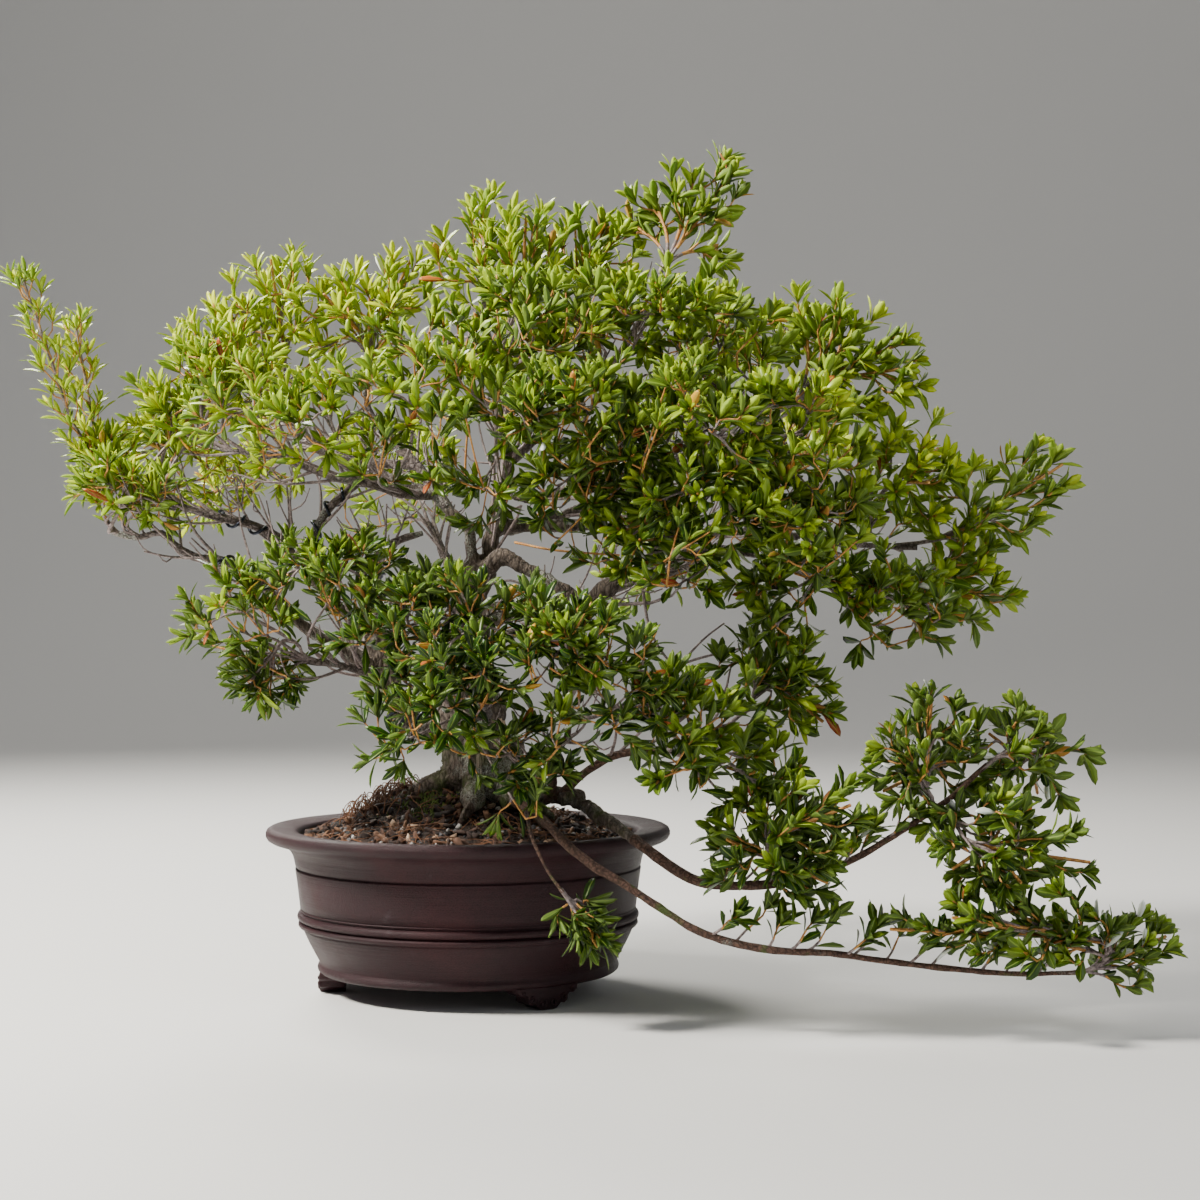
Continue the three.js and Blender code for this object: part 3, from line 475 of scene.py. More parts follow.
# %% [markdown]
# ## The wood
#
# The base is thick and leans into surface roots. Above it the limbs were bent and wired for years,
# so no two run alike. Each limb is written down as its two radii and its course in the front view.
# A course is smoothed through its points, then walked in even steps.

# %% Smooth courses
WALK_STEPS = 24
LOOK_AHEAD = 0.01
TINY = 1e-9


def smoothed(points):
    """A curve through the points, and how far along it each of its own points lies, from 0 to 1."""
    padded = np.vstack([2 * points[0] - points[1], points, 2 * points[-1] - points[-2]])
    share = np.linspace(0, 1, WALK_STEPS, endpoint=False)[:, None]
    pieces = []
    for a, b, c, d in zip(padded, padded[1:], padded[2:], padded[3:]):
        pieces.append(0.5 * (
            2 * b + (c - a) * share + (2 * a - 5 * b + 4 * c - d) * share**2
            + (3 * b - a - 3 * c + d) * share**3))
    line = np.vstack(pieces + [points[-1:]])
    walked = np.concatenate([[0], np.cumsum(np.linalg.norm(np.diff(line, axis=0), axis=1))])
    return line, walked / walked[-1], walked[-1]


class Course:
    """A smooth line that can be asked for a place or a heading at any share of its length."""

    def __init__(self, points):
        self.line, self.shares, self.length = smoothed(np.asarray(points, float))

    def at(self, share):
        return np.array([np.interp(share, self.shares, axis) for axis in self.line.T]).T

    def heading(self, share):
        ahead = self.at(np.minimum(share + LOOK_AHEAD, 1.0))
        return unit(ahead - self.at(np.maximum(share - LOOK_AHEAD, 0.0)))


def unit(vector):
    return vector / np.maximum(np.linalg.norm(vector, axis=-1, keepdims=True), TINY)


TRUNK = (43, 16.5, [
    (14, 132, 6), (13, 168, 5), (12, 192, 4), (6, 220, 0), (1, 251, -4), (-1, 286, -4),
    (-1, 320, 0), (4, 346, 0), (10, 366, 0)])
ROOTS = [
    (17, 4, [(4, 196, -4), (-26, 178, -18), (-52, 166, -26), (-74, 150, -34)]),
    (15, 4, [(8, 192, -12), (4, 172, -44), (0, 158, -68), (-8, 142, -84)]),
    (15, 4, [(22, 194, -8), (42, 172, -30), (62, 156, -38), (80, 143, -40)]),
    (15, 4, [(20, 192, 12), (44, 170, 34), (58, 156, 52), (68, 142, 66)]),
    (15, 4, [(4, 194, 14), (-22, 174, 40), (-36, 160, 60), (-46, 144, 74)])]
LIMBS = {
    "stem_left": (6.2, 2.2, [
        (8, 350, 0), (3, 382, -4), (-1, 400, -8), (-15, 415, -10), (-30, 432, -8), (-44, 454, 0),
        (-61, 472, 8), (-84, 498, 12), (-90, 518, 12)]),
    "leader": (9, 2.4, [
        (10, 352, 0), (20, 377, 4), (20, 391, 6), (25, 418, 8), (29, 438, 8), (34, 462, 8),
        (31, 481, 4), (27, 503, 0), (25, 520, -2), (26, 542, 0), (29, 563, 4)]),
    "limb_up_right": (5, 2, [
        (33, 456, 8), (53, 474, 14), (70, 490, 20), (83, 503, 24), (107, 524, 28), (133, 555, 24),
        (155, 590, 10), (168, 606, 0)]),
    "limb_right_high": (5, 2, [
        (27, 430, 8), (53, 426, 0), (70, 430, -10), (96, 436, -24), (122, 440, -36), (150, 451, -50),
        (185, 464, -60), (220, 477, -60), (250, 492, -50)]),
    "limb_right_long": (6, 2.2, [
        (23, 404, 6), (44, 402, 20), (85, 402, 30), (122, 402, 34), (153, 397, 34), (206, 396, 28),
        (255, 396, 20), (307, 390, 10), (342, 386, 4), (390, 384, 0)]),
    "limb_crooked": (8, 6, [
        (12, 362, -4), (30, 376, -14), (46, 366, -20), (66, 358, -24), (81, 347, -28), (104, 334, -30)]),
    "limb_mossy": (10, 2.8, [
        (2, 322, -6), (42, 330, -20), (69, 336, -26), (102, 334, -30), (117, 346, -34),
        (139, 356, -38), (162, 361, -44), (185, 368, -50), (206, 379, -52), (237, 380, -60),
        (272, 373, -66)]),
    "limb_left_long": (4.8, 2, [
        (-28, 430, -8), (-47, 429, -20), (-68, 434, -32), (-95, 441, -40), (-119, 446, -44),
        (-145, 455, -46), (-166, 461, -44), (-189, 466, -40), (-210, 468, -34), (-235, 475, -26)]),
    "limb_left_high": (4.6, 2, [
        (-44, 454, 0), (-60, 456, 10), (-92, 457, 24), (-116, 462, 34), (-143, 483, 40),
        (-158, 493, 40), (-168, 499, 38), (-184, 512, 34), (-200, 528, 30)]),
    "limb_low_left": (13, 2.6, [
        (0, 220, 2), (-36, 227, 12), (-54, 233, 20), (-64, 248, 26), (-71, 269, 30), (-77, 295, 32),
        (-79, 321, 32), (-80, 350, 28), (-82, 370, 24), (-73, 383, 20), (-58, 391, 14), (-40, 396, 10)]),
    "limb_left_rising": (6.8, 2.4, [
        (-76, 288, 32), (-102, 320, 36), (-128, 347, 34), (-150, 373, 28), (-163, 389, 22),
        (-188, 403, 14), (-204, 407, 6), (-237, 415, -4), (-266, 425, -10)]),
    "limb_left_lowest": (6.5, 2.4, [
        (-73, 276, 30), (-110, 296, 10), (-145, 316, -10), (-177, 347, -24), (-191, 363, -30),
        (-204, 367, -32), (-216, 373, -32), (-237, 375, -30), (-254, 384, -26), (-267, 396, -24),
        (-290, 392, -24), (-309, 397, -26)]),
    "limb_left_crossing": (5.6, 2.2, [
        (-122, 340, 34), (-126, 372, 44), (-136, 389, 48), (-131, 402, 52), (-124, 415, 56),
        (-111, 428, 62), (-95, 440, 70), (-80, 455, 84)]),
    "limb_low_front": (6.5, 2.6, [
        (-66, 257, 24), (-80, 268, -8), (-95, 277, -36), (-115, 282, -56), (-140, 285, -70)]),
    "limb_front": (8.5, 3, [
        (0, 286, -4), (-5, 300, -50), (-10, 312, -90), (-5, 322, -125)]),
    "limb_front_low": (7, 2.6, [
        (6, 234, -10), (14, 240, -55), (14, 238, -90), (5, 235, -120)]),
    "limb_back": (8, 2.4, [
        (0, 326, 4), (-10, 350, 50), (-20, 375, 95), (-35, 405, 135)]),
    "limb_back_high": (6, 2.2, [
        (27, 434, 8), (30, 450, 45), (35, 470, 85), (40, 500, 120)]),
    "limb_back_right": (6.4, 2.2, [
        (22, 396, 8), (60, 405, 50), (105, 420, 85), (155, 440, 110), (205, 455, 125)]),
    "limb_back_left": (5.4, 2.2, [
        (-28, 430, -6), (-60, 440, 40), (-100, 462, 84), (-140, 478, 110)]),
    "limb_back_low": (6.4, 2.2, [
        (2, 298, 6), (40, 310, 50), (80, 325, 85), (120, 345, 110)]),
    "base_limb": (10, 6, [
        (12, 178, -8), (46, 170, -34), (72, 167, -52), (98, 165, -66)]),
    "low_branch": (5.6, 2, [
        (92, 165, -62), (123, 145, -112), (148, 126, -150), (168, 112, -166), (194, 95, -180),
        (237, 90, -190), (290, 96, -196), (333, 112, -200), (377, 138, -204), (420, 168, -206),
        (450, 195, -206)]),
    "tall_shoot": (4.2, 2, [
        (70, 166, -51), (73, 183, -70), (70, 199, -90), (75, 210, -110), (86, 221, -130),
        (87, 258, -160), (88, 276, -172)]),
    "right_shoot": (4.4, 2, [
        (76, 166, -54), (98, 186, -80), (114, 197, -95), (131, 204, -108), (159, 207, -120),
        (173, 207, -128), (206, 218, -135), (229, 230, -138)]),
    "lowest_branch": (4.4, 1.7, [
        (26, 168, -24), (46, 160, -66), (64, 147, -120), (76, 135, -164), (102, 112, -198),
        (133, 92, -212), (161, 74, -216), (203, 49, -220), (255, 35, -222), (315, 31, -222),
        (377, 22, -220), (464, 14, -218), (530, 14, -214)]),
    "hanging_stem": (2.2, 1.4, [
        (36, 164, -36), (48, 156, -110), (52, 142, -165), (58, 124, -190), (69, 102, -198),
        (82, 84, -200)])
}
trunk = Course(seen(TRUNK[2]))
limbs = {name: Course(seen(course)) for name, (_, _, course) in LIMBS.items()}
print(len(limbs), "limbs,", round(sum(limb.length for limb in limbs.values()), 2), "m in all")

# %% [markdown]
# The leafy sprays are written down too: the limb that each grows from, where its stem passes, and
# the places of its tufts as (x, z, depth, spread, shoots). A spread of 0 is one long shoot: a whip
# with short tufts, or, in a spray that fans out, a runner with leaves all up it.

# %% Sprays
SPRAYS = {
    "left_whip": ("limb_left_rising", (-327, 455, -14), [
        (-395, 637, -20, 0, 6)]),
    "left_whip_low": ("limb_left_rising", (-312, 436, 18), [
        (-345, 592, 34, 0, 5), (-322, 462, -10, 18, 2)]),
    "left_tip": ("limb_left_lowest", (-312, 400, -40), [
        (-292, 436, -52, 30, 3)]),
    "left_upper": ("limb_left_rising", (-268, 452, 24), [
        (-252, 506, -8, 30, 2), (-262, 470, 76, 30, 2)]),
    "left_crown_low": ("limb_left_long", (-244, 486, -30), [
        (-214, 540, -40, 40, 4)]),
    "left_crown_high": ("limb_left_high", (-204, 534, 32), [
        (-206, 586, 22, 46, 4)]),
    "left_crown_plume": ("limb_left_high", (-160, 540, 40), [
        (-172, 634, 24, 44, 4)]),
    "left_front_low": ("limb_left_long", (-166, 474, -84), [
        (-190, 506, -134, 44, 4)]),
    "left_front_high": ("limb_left_long", (-112, 470, -84), [
        (-122, 500, -150, 52, 4)]),
    "crown_top_left": ("stem_left", (-86, 542, 18), [
        (-86, 600, 54, 40, 2), (-50, 634, 26, 38, 2), (-126, 604, -20, 40, 2)]),
    "crown_plume": ("leader", (14, 590, 8), [
        (14, 688, 16, 40, 4)]),
    "crown_front_plume": ("leader", (44, 585, -22), [
        (50, 672, -44, 40, 4)]),
    "crown_top_right": ("limb_up_right", (98, 580, 50), [
        (92, 668, 58, 40, 2), (138, 664, 26, 38, 2)]),
    "right_top_whip": ("limb_up_right", (166, 622, -6), [
        (234, 716, -22, 0, 4), (196, 706, -6, 0, 4), (160, 690, 12, 0, 3), (220, 642, 30, 0, 3),
        (138, 668, 26, 0, 2)]),
    "crown_front_left": ("leader", (-12, 515, -64), [
        (-18, 572, -116, 52, 4)]),
    "crown_front_mid": ("leader", (58, 520, -76), [
        (70, 585, -128, 52, 4)]),
    "crown_front_right": ("limb_up_right", (136, 545, -54), [
        (158, 588, -100, 52, 4)]),
    "front_left": ("limb_left_long", (-50, 474, -96), [
        (-52, 515, -164, 52, 4)]),
    "front_mid": ("leader", (24, 462, -104), [
        (24, 505, -180, 50, 4), (28, 440, -130, 24, 1)]),
    "front_right": ("limb_right_high", (94, 468, -110), [
        (104, 505, -188, 50, 4), (100, 446, -150, 36, 3)]),
    "right_crown_mid": ("limb_right_high", (196, 505, -44), [
        (222, 566, -50, 50, 4)]),
    "right_crown_plume": ("limb_right_high", (278, 506, -22), [
        (360, 590, -4, 0, 4), (292, 590, 6, 0, 3), (326, 590, -30, 0, 4), (386, 566, -44, 0, 4),
        (384, 540, -66, 0, 3), (350, 512, -54, 0, 3)]),
    "right_crown_back": ("limb_right_high", (240, 520, 30), [
        (270, 560, 60, 46, 3)]),
    "right_front_high": ("limb_right_high", (170, 470, -130), [
        (186, 500, -198, 52, 4)]),
    "right_front_side": ("limb_right_high", (244, 478, -118), [
        (290, 482, -170, 52, 4)]),
    "right_side_high": ("limb_right_long", (352, 424, 6), [
        (408, 470, 24, 44, 2), (400, 440, -56, 40, 2)]),
    "right_tip": ("limb_right_long", (436, 404, 6), [
        (516, 456, 16, 40, 4)]),
    "right_low": ("limb_right_long", (380, 362, 26), [
        (474, 338, 36, 34, 2), (440, 392, -24, 34, 2)]),
    "right_low_front": ("limb_mossy", (286, 362, -92), [
        (372, 338, -104, 42, 3), (274, 344, -140, 40, 2)]),
    "right_front_low": ("limb_mossy", (244, 408, -112), [
        (290, 416, -168, 50, 4)]),
    "right_front_mid": ("limb_mossy", (176, 408, -122), [
        (206, 420, -196, 46, 4), (150, 398, -160, 34, 2)]),
    "left_pad_top": ("limb_low_front", (-104, 322, -80), [
        (-118, 362, -128, 50, 4)]),
    "left_pad_side": ("limb_low_front", (-152, 302, -86), [
        (-202, 330, -108, 38, 2), (-178, 276, -84, 20, 2)]),
    "front_pad_left": ("limb_front", (-46, 306, -100), [
        (-56, 328, -170, 48, 4)]),
    "front_pad_mid": ("limb_front", (6, 318, -140), [
        (10, 314, -214, 50, 4)]),
    "front_low": ("limb_front_low", (2, 232, -128), [
        (-28, 256, -188, 50, 3), (42, 198, -180, 40, 2)]),
    "tall_pad": ("tall_shoot", (92, 286, -182), [
        (94, 302, -244, 40, 4)]),
    "mid_right_low": ("tall_shoot", (108, 236, -150), [
        (130, 246, -216, 46, 3)]),
    "mid_right": ("right_shoot", (176, 226, -148), [
        (192, 240, -206, 44, 2), (252, 176, -176, 44, 2)]),
    "mid_right_tall": ("right_shoot", (248, 256, -140), [
        (274, 312, -138, 36, 3), (308, 232, -146, 26, 2)]),
    "low_right_near": ("low_branch", (262, 112, -208), [
        (224, 130, -234, 40, 2), (332, 160, -246, 32, 2), (312, 92, -228, 24, 2)]),
    "low_right_plume": ("low_branch", (398, 178, -208), [
        (402, 250, -214, 36, 3), (360, 172, -190, 32, 2), (416, 196, -176, 34, 2)]),
    "low_right_top": ("low_branch", (464, 204, -208), [
        (504, 214, -204, 34, 2), (494, 170, -150, 38, 2), (452, 222, -190, 34, 2)]),
    "low_right_side": ("low_branch", (440, 126, -228), [
        (540, 110, -236, 34, 2), (480, 92, -252, 34, 2), (420, 104, -230, 36, 2),
        (462, 140, -200, 34, 2)]),
    "lowest_tip": ("lowest_branch", (548, 20, -214), [
        (606, 46, -206, 24, 3), (420, 62, -262, 34, 2), (500, 42, -232, 26, 2), (366, 52, -244, 26, 2)]),
    "hanging": ("hanging_stem", (86, 78, -200), [
        (112, 36, -206, 13, 3)]),
    "back_left": ("limb_back_left", (-152, 490, 124), [
        (-184, 520, 184, 50, 2), (-206, 440, 136, 44, 2)]),
    "back_mid": ("limb_back", (-40, 418, 150), [
        (-56, 446, 220, 56, 4)]),
    "back_high": ("limb_back_high", (42, 512, 134), [
        (46, 566, 186, 56, 4)]),
    "back_right": ("limb_back_right", (214, 464, 136), [
        (170, 506, 192, 54, 2), (282, 480, 180, 52, 2)]),
    "back_low": ("limb_back_low", (130, 354, 124), [
        (164, 372, 196, 54, 3)])
}
print(len(SPRAYS), "sprays")

# %% [markdown]
# The trunk, the roots and the thick parts of the limbs run into each other with no seam. Blender's
# voxel remesh melts overlapping tubes into one skin. Only the thick wood goes in, because twigs
# thinner than a few voxels would be lost. They stay tubes, and start inside the melted skin.

# %% Thick wood and thin wood
THICK = 4.6 * MM
VOXEL = 2.4 * MM
STEP = 7 * MM
TRUNK_FLARE = 1.5
LIMB_TAPER = 0.9
ROOT_WOBBLE = 0.1
LIMB_WOBBLE = 0.16
SWELL = 0.05
INSIDE_SKIN = 3
GREY_BARK, RED_BARK, OLD_TWIG, NEW_TWIG, SCAR_WOOD = 1, 2, 3, 4, 5
RED_LIMBS = ("low_branch", "tall_shoot", "right_shoot", "lowest_branch", "hanging_stem")
rng = np.random.default_rng(11)


def radii_along(start, end, shares, power):
    return (end + (start - end) * (1 - shares) ** power) * MM


def walk(course, start, end, power, wobble):
    count = max(4, int(course.length / STEP))
    shares = np.linspace(0, 1, count + 1)
    points = course.at(shares)
    sway = rng.normal(0, 1, (count + 1, 3))
    sway = (sway + np.roll(sway, 1, 0) + np.roll(sway, -1, 0)) / 3
    radii = radii_along(start, end, shares, power)
    points = points + sway * wobble * radii[:, None]
    swell = rng.normal(0, 1, count + 1)
    radii = radii * (1 + SWELL * (swell + np.roll(swell, 1) + np.roll(swell, 2)))
    return points, radii


thick_strands = [walk(trunk, TRUNK[0], TRUNK[1], TRUNK_FLARE, 0.0)]
thin_strands = []
for start, end, course in ROOTS:
    thick_strands.append(walk(Course(seen(course)), start, end, 1.0, ROOT_WOBBLE))
for name, (start, end, _) in LIMBS.items():
    points, radii = walk(limbs[name], start, end, LIMB_TAPER, LIMB_WOBBLE)
    thick = int(np.sum(radii > THICK))
    if thick >= INSIDE_SKIN:
        thick_strands.append((points[:thick], radii[:thick]))
    kind = RED_BARK if name in RED_LIMBS else GREY_BARK
    thin_from = max(0, thick - INSIDE_SKIN)
    thin_strands.append((points[thin_from:], radii[thin_from:], kind))
print(len(thick_strands), "thick and", len(thin_strands), "thin strands")

# %% [markdown]
# The bark is craggy low down, where it is old, and nearly smooth on young limbs. Each point of the
# melted skin moves along its normal by ridged noise, which is stretched along the trunk so that it
# makes plates and furrows. One old cut, low on the trunk's front right, is pressed flat.

# %% Melt the thick wood and raise its bark
CRAG = 3.4 * MM
CRAG_HEIGHT = {"from": 0.16, "over": 0.26, "least": 0.18}
CRAG_WIDTH = {"over": 0.14, "least": 0.3}
PLATE_SCALE = 95
PLATE_STRETCH = (1.0, 1.0, 0.33)
PLATE_EDGE = 0.55
KNOT = 7.0 * MM
KNOT_SCALE = 26
KNOT_SHIFT = 3.0
SCAR = {"height": 220.0, "facing": np.array([0.82, -0.56, 0.1]), "depth": 3.5, "radius": 15.0}


def melted(mesh, voxel, smooth_times):
    piece = link("melting", mesh)
    remesh = piece.modifiers.new("melt", "REMESH")
    remesh.mode = "VOXEL"
    remesh.voxel_size = voxel
    smooth = piece.modifiers.new("soften", "SMOOTH")
    smooth.iterations = smooth_times
    smooth.factor = 0.5
    bpy.context.view_layer.update()
    shaped = piece.evaluated_get(bpy.context.evaluated_depsgraph_get())
    result = bpy.data.meshes.new_from_object(shaped)
    bpy.data.objects.remove(piece)
    bpy.data.meshes.remove(mesh)
    return result


def get_points(mesh):
    points = np.empty(len(mesh.vertices) * 3)
    mesh.vertices.foreach_get("co", points)
    return points.reshape(-1, 3)


def get_normals(mesh):
    normals = np.empty(len(mesh.vertices) * 3, np.float32)
    mesh.vertex_normals.foreach_get("vector", normals)
    return normals.reshape(-1, 3).astype(float)


def set_points(mesh, points):
    mesh.vertices.foreach_set("co", np.ascontiguousarray(points).ravel())
    mesh.update()


def noisy(points, scale, octaves=3, stretch=(1.0, 1.0, 1.0)):
    scaled = points * scale * np.array(stretch)
    return np.array([noise.fractal(Vector(p), 1.0, 2.0, octaves) for p in scaled])


wood_mesh = melted(tubes("thick_wood", thick_strands, 4), VOXEL, 4)
points = get_points(wood_mesh)
normals = get_normals(wood_mesh)
from_axis = np.linalg.norm((points - trunk.at(0.0))[:, :2], axis=1)
age = np.clip(
    1.25 - (points[:, 2] - CRAG_HEIGHT["from"]) / CRAG_HEIGHT["over"], CRAG_HEIGHT["least"], 1.0)
age *= np.clip(1.5 - from_axis / CRAG_WIDTH["over"], CRAG_WIDTH["least"], 1.0)
ridged = 1 - np.abs(noisy(points, PLATE_SCALE, 3, PLATE_STRETCH))
plates = np.clip((ridged - PLATE_EDGE) / 0.4, 0, 1) - PLATE_EDGE
knots = noisy(points + KNOT_SHIFT, KNOT_SCALE, 2)
rise = age * (CRAG * plates + KNOT * np.clip(knots - 0.1, -0.4, 0.6))
points = points + normals * rise[:, None]
scar_facing = unit(SCAR["facing"])
scar_share = (SCAR["height"] - TRUNK[2][0][1]) / (TRUNK[2][-1][1] - TRUNK[2][0][1])
scar_reach = radii_along(TRUNK[0], TRUNK[1], scar_share, TRUNK_FLARE) - SCAR["depth"] * MM
scar_middle = trunk.at(scar_share) + scar_facing * scar_reach
proud = (points - scar_middle) @ scar_facing
scar_across = np.linalg.norm(points - scar_middle - np.outer(proud, scar_facing), axis=1)
scarred = (proud > 0) & (scar_across < SCAR["radius"] * MM)
points[scarred] -= np.outer(proud[scarred], scar_facing)
set_points(wood_mesh, points)
print("thick wood", len(wood_mesh.polygons), "faces")

# %% The bark
FURROW_PAINTED_SHADE = (0.4, 0.36, 0.33)
LICHEN_COLOR = (0.36, 0.38, 0.33)
MOSS_COLOR = (0.06, 0.085, 0.014)
DAMP_UP_TO = 0.165
DRY_FROM = 0.235


def bark_material(name, lichen_share, moss_share, dark, pale, upright):
    bark = new_material(name, 0.85)
    flaky = speckle(bark, place(bark, (260, 260, 260 * upright)), 1.0, 6.0, 0.7)
    cracks = cells(bark, place(bark, (230, 230, 230 * upright)), 1.0, "DISTANCE_TO_EDGE")
    patches = speckle(bark, place(bark), 22.0, 5.0)
    fine = speckle(bark, place(bark), 800.0, 4.0)
    middle = tuple(0.5 * (a + b) for a, b in zip(dark, pale))
    color = ramp(bark, flaky, (0.32, dark), (0.5, middle), (0.68, pale))
    furrow = level(bark, cracks, 0.0, 0.16)
    # Painted shade: the bark is darkened in its cracks.
    color = mix(bark, furrow, mix(bark, 1.0, color, FURROW_PAINTED_SHADE, "MULTIPLY"), color)
    lichen = level(bark, patches, 0.62 - lichen_share, 0.7 - lichen_share)
    lichen = calculate(bark, "MULTIPLY", lichen, level(bark, fine, 0.42, 0.58))
    color = mix(bark, calculate(bark, "MULTIPLY", lichen, 0.8), color, LICHEN_COLOR)
    low = add(bark, "ShaderNodeSeparateXYZ", {"Vector": place(bark)}).outputs["Z"]
    damp = level(bark, low, DRY_FROM, DAMP_UP_TO)
    tufts = level(bark, speckle(bark, place(bark), 34.0, 4.0), 0.56 - moss_share, 0.66)
    color = mix(bark, calculate(bark, "MULTIPLY", tufts, damp), color, MOSS_COLOR)
    height = calculate(bark, "ADD", flaky, calculate(bark, "MULTIPLY", furrow, 0.8))
    return dress(bark, color, None, calculate(bark, "ADD", height, fine), 0.0012, 0.8)


old_bark = bark_material(
    "old_bark", 0.1, 0.06, (0.035, 0.024, 0.018), (0.21, 0.165, 0.13), 0.38)
grey_bark = bark_material(
    "grey_limb_bark", 0.05, 0.0, (0.055, 0.04, 0.038), (0.27, 0.22, 0.205), 1.0)
red_bark = bark_material(
    "red_brown_bark", 0.0, 0.0, (0.045, 0.02, 0.014), (0.17, 0.09, 0.06), 1.0)


def twig_material(name, dark, pale):
    twig = new_material(name, 0.6)
    streaks = speckle(twig, place(twig), 420.0, 4.0)
    color = ramp(twig, streaks, (0.35, dark), (0.65, pale))
    return dress(twig, color, None, streaks, 0.0004, 0.5)


old_twig = twig_material("old_twig", (0.09, 0.062, 0.06), (0.34, 0.27, 0.26))
new_twig = twig_material("new_twig", (0.3, 0.1, 0.025), (0.62, 0.33, 0.07))
print("three barks and two ages of twig")

scar_wood = new_material("cut_wood", 0.75)
scar_rings = add(scar_wood, "ShaderNodeTexWave", {
    "Vector": place(scar_wood), "Scale": 120.0, "Distortion": 6.0, "Detail": 3.0}).outputs["Fac"]
dress(scar_wood, ramp(scar_wood, scar_rings, (0.2, (0.3, 0.2, 0.12)), (0.8, (0.55, 0.42, 0.28))),
      None, scar_rings, 0.0005, 0.4)

# %% [markdown]
# Between the limbs and the leaves the crown is full of fine bare wood, which is what tells an old
# tree from a young one. Branchlets leave the crown's limbs at golden angles, bend up to the light
# and fork once or twice. A few bare shoots that stand out in the photograph's view are listed.

# %% Fine bare wood
BRANCHLET = {
    "step": 26.0, "from": 0.34, "over": 0.48, "length": (45.0, 90.0), "radii": (1.6, 0.7), "out": 0.6,
    "waver": 0.09, "forks": (1, 3)}
FORK = {"span": (0.3, 0.85), "length": (20.0, 40.0), "radii": (0.9, 0.55), "out": 0.8, "waver": 0.1}
NEXT_SIDE = 2.4
NUDGE = np.array([0, 1e-6, 0])
BARE_LIMBS = ("low_branch", "lowest_branch", "hanging_stem", "base_limb", "limb_crooked")
BARE_SHOOTS = [
    (1.9, 1.3, OLD_TWIG, [(150, 356, -41), (156, 317, -46), (165, 297, -50), (178, 280, -54)]),
    (1.3, 0.9, OLD_TWIG, [(178, 280, -54), (206, 289, -56), (246, 298, -60)]),
    (1.2, 0.8, OLD_TWIG, [(184, 283, -54), (204, 304, -52), (222, 318, -50)]),
    (1.2, 0.8, NEW_TWIG, [(40, 388, -20), (70, 382, -60), (100, 379, -84), (131, 377, -96)]),
    (1.4, 0.9, NEW_TWIG, [(60, 412, -10), (78, 428, -40), (100, 450, -60)]),
    (1.2, 0.8, NEW_TWIG, [(0, 420, -40), (-3, 450, -62), (-1, 488, -70)]),
    (1.1, 0.8, OLD_TWIG, [(20, 352, -26), (36, 355, -34), (50, 351, -36), (63, 354, -36)]),
    (1.0, 0.5, OLD_TWIG, [(4, 352, -10), (-12, 360, -26), (-22, 376, -34)])]
branch_rng = np.random.default_rng(77)


def curved(start, heading, end_heading, length, waver):
    middle = start + heading * length * 0.5 + branch_rng.normal(0, waver * length, 3)
    end = middle + unit(heading + end_heading) * length * 0.5
    return Course(np.array([start, middle, end]))


def strand(course, radii, kind, steps):
    shares = np.linspace(0, 1, steps + 1)
    return course.at(shares), np.linspace(*radii, steps + 1) * MM, kind


def golden_out(heading, turn):
    side = unit(np.cross(heading, UP) + NUDGE)
    return side * math.cos(turn) + np.cross(side, heading) * math.sin(turn)


def branchlets(limb):
    strands = []
    count = int(limb.length / MM / BRANCHLET["step"])
    for i in range(count):
        share = BRANCHLET["from"] + BRANCHLET["over"] * (i + branch_rng.random()) / count
        heading = limb.heading(share)
        out = golden_out(heading, i * NEXT_SIDE)
        first = unit(heading + out * BRANCHLET["out"] + UP * 0.15)
        length = branch_rng.uniform(*BRANCHLET["length"]) * MM
        bend = 0.7 * UP + 0.4 * out
        course = curved(limb.at(share), first, bend, length, BRANCHLET["waver"])
        strands.append(strand(course, BRANCHLET["radii"], OLD_TWIG, 8))
        for fork in range(branch_rng.integers(*BRANCHLET["forks"])):
            at = branch_rng.uniform(*FORK["span"])
            way = course.heading(at)
            side = golden_out(way, i + fork * NEXT_SIDE)
            length = branch_rng.uniform(*FORK["length"]) * MM
            first = unit(way + FORK["out"] * side)
            twig = curved(course.at(at), first, 0.6 * UP, length, FORK["waver"])
            strands.append(strand(twig, FORK["radii"], OLD_TWIG, 5))
    return strands


fine_strands = []
for name, limb in limbs.items():
    if name not in BARE_LIMBS:
        fine_strands += branchlets(limb)
for start, end, kind, places in BARE_SHOOTS:
    fine_strands.append(strand(Course(seen(places)), (start, end), kind, 12))
for points, _, _ in fine_strands:
    points[:, 1] = np.clip(points[:, 1], cad_box[0].y, cad_box[1].y)
print(len(fine_strands), "twigs")

# %% Join the wood
wood_bm = bmesh.new()
wood_bm.from_mesh(wood_mesh)
wood_bm.faces.ensure_lookup_table()
barks = (old_bark, grey_bark, red_bark, old_twig, new_twig, scar_wood)
for face in wood_bm.faces:
    on_scar = all(scarred[vert.index] for vert in face.verts)
    face.material_index = SCAR_WOOD if on_scar else 0
join_into(wood_bm, tubes("thin_wood", thin_strands, 2, barks))
join_into(wood_bm, tubes("fine_wood", fine_strands, 0, barks))
wood = link("trunk_and_limbs", to_mesh(wood_bm, "trunk_and_limbs"), *barks)
finished(wood, "bark", "wood")

# %% [markdown]
# Anodised aluminium wire holds the left limbs in their bends until they set. A wire is a helix at
# the limb's own radius, with the wire's radius added, so that it lies on the bark.

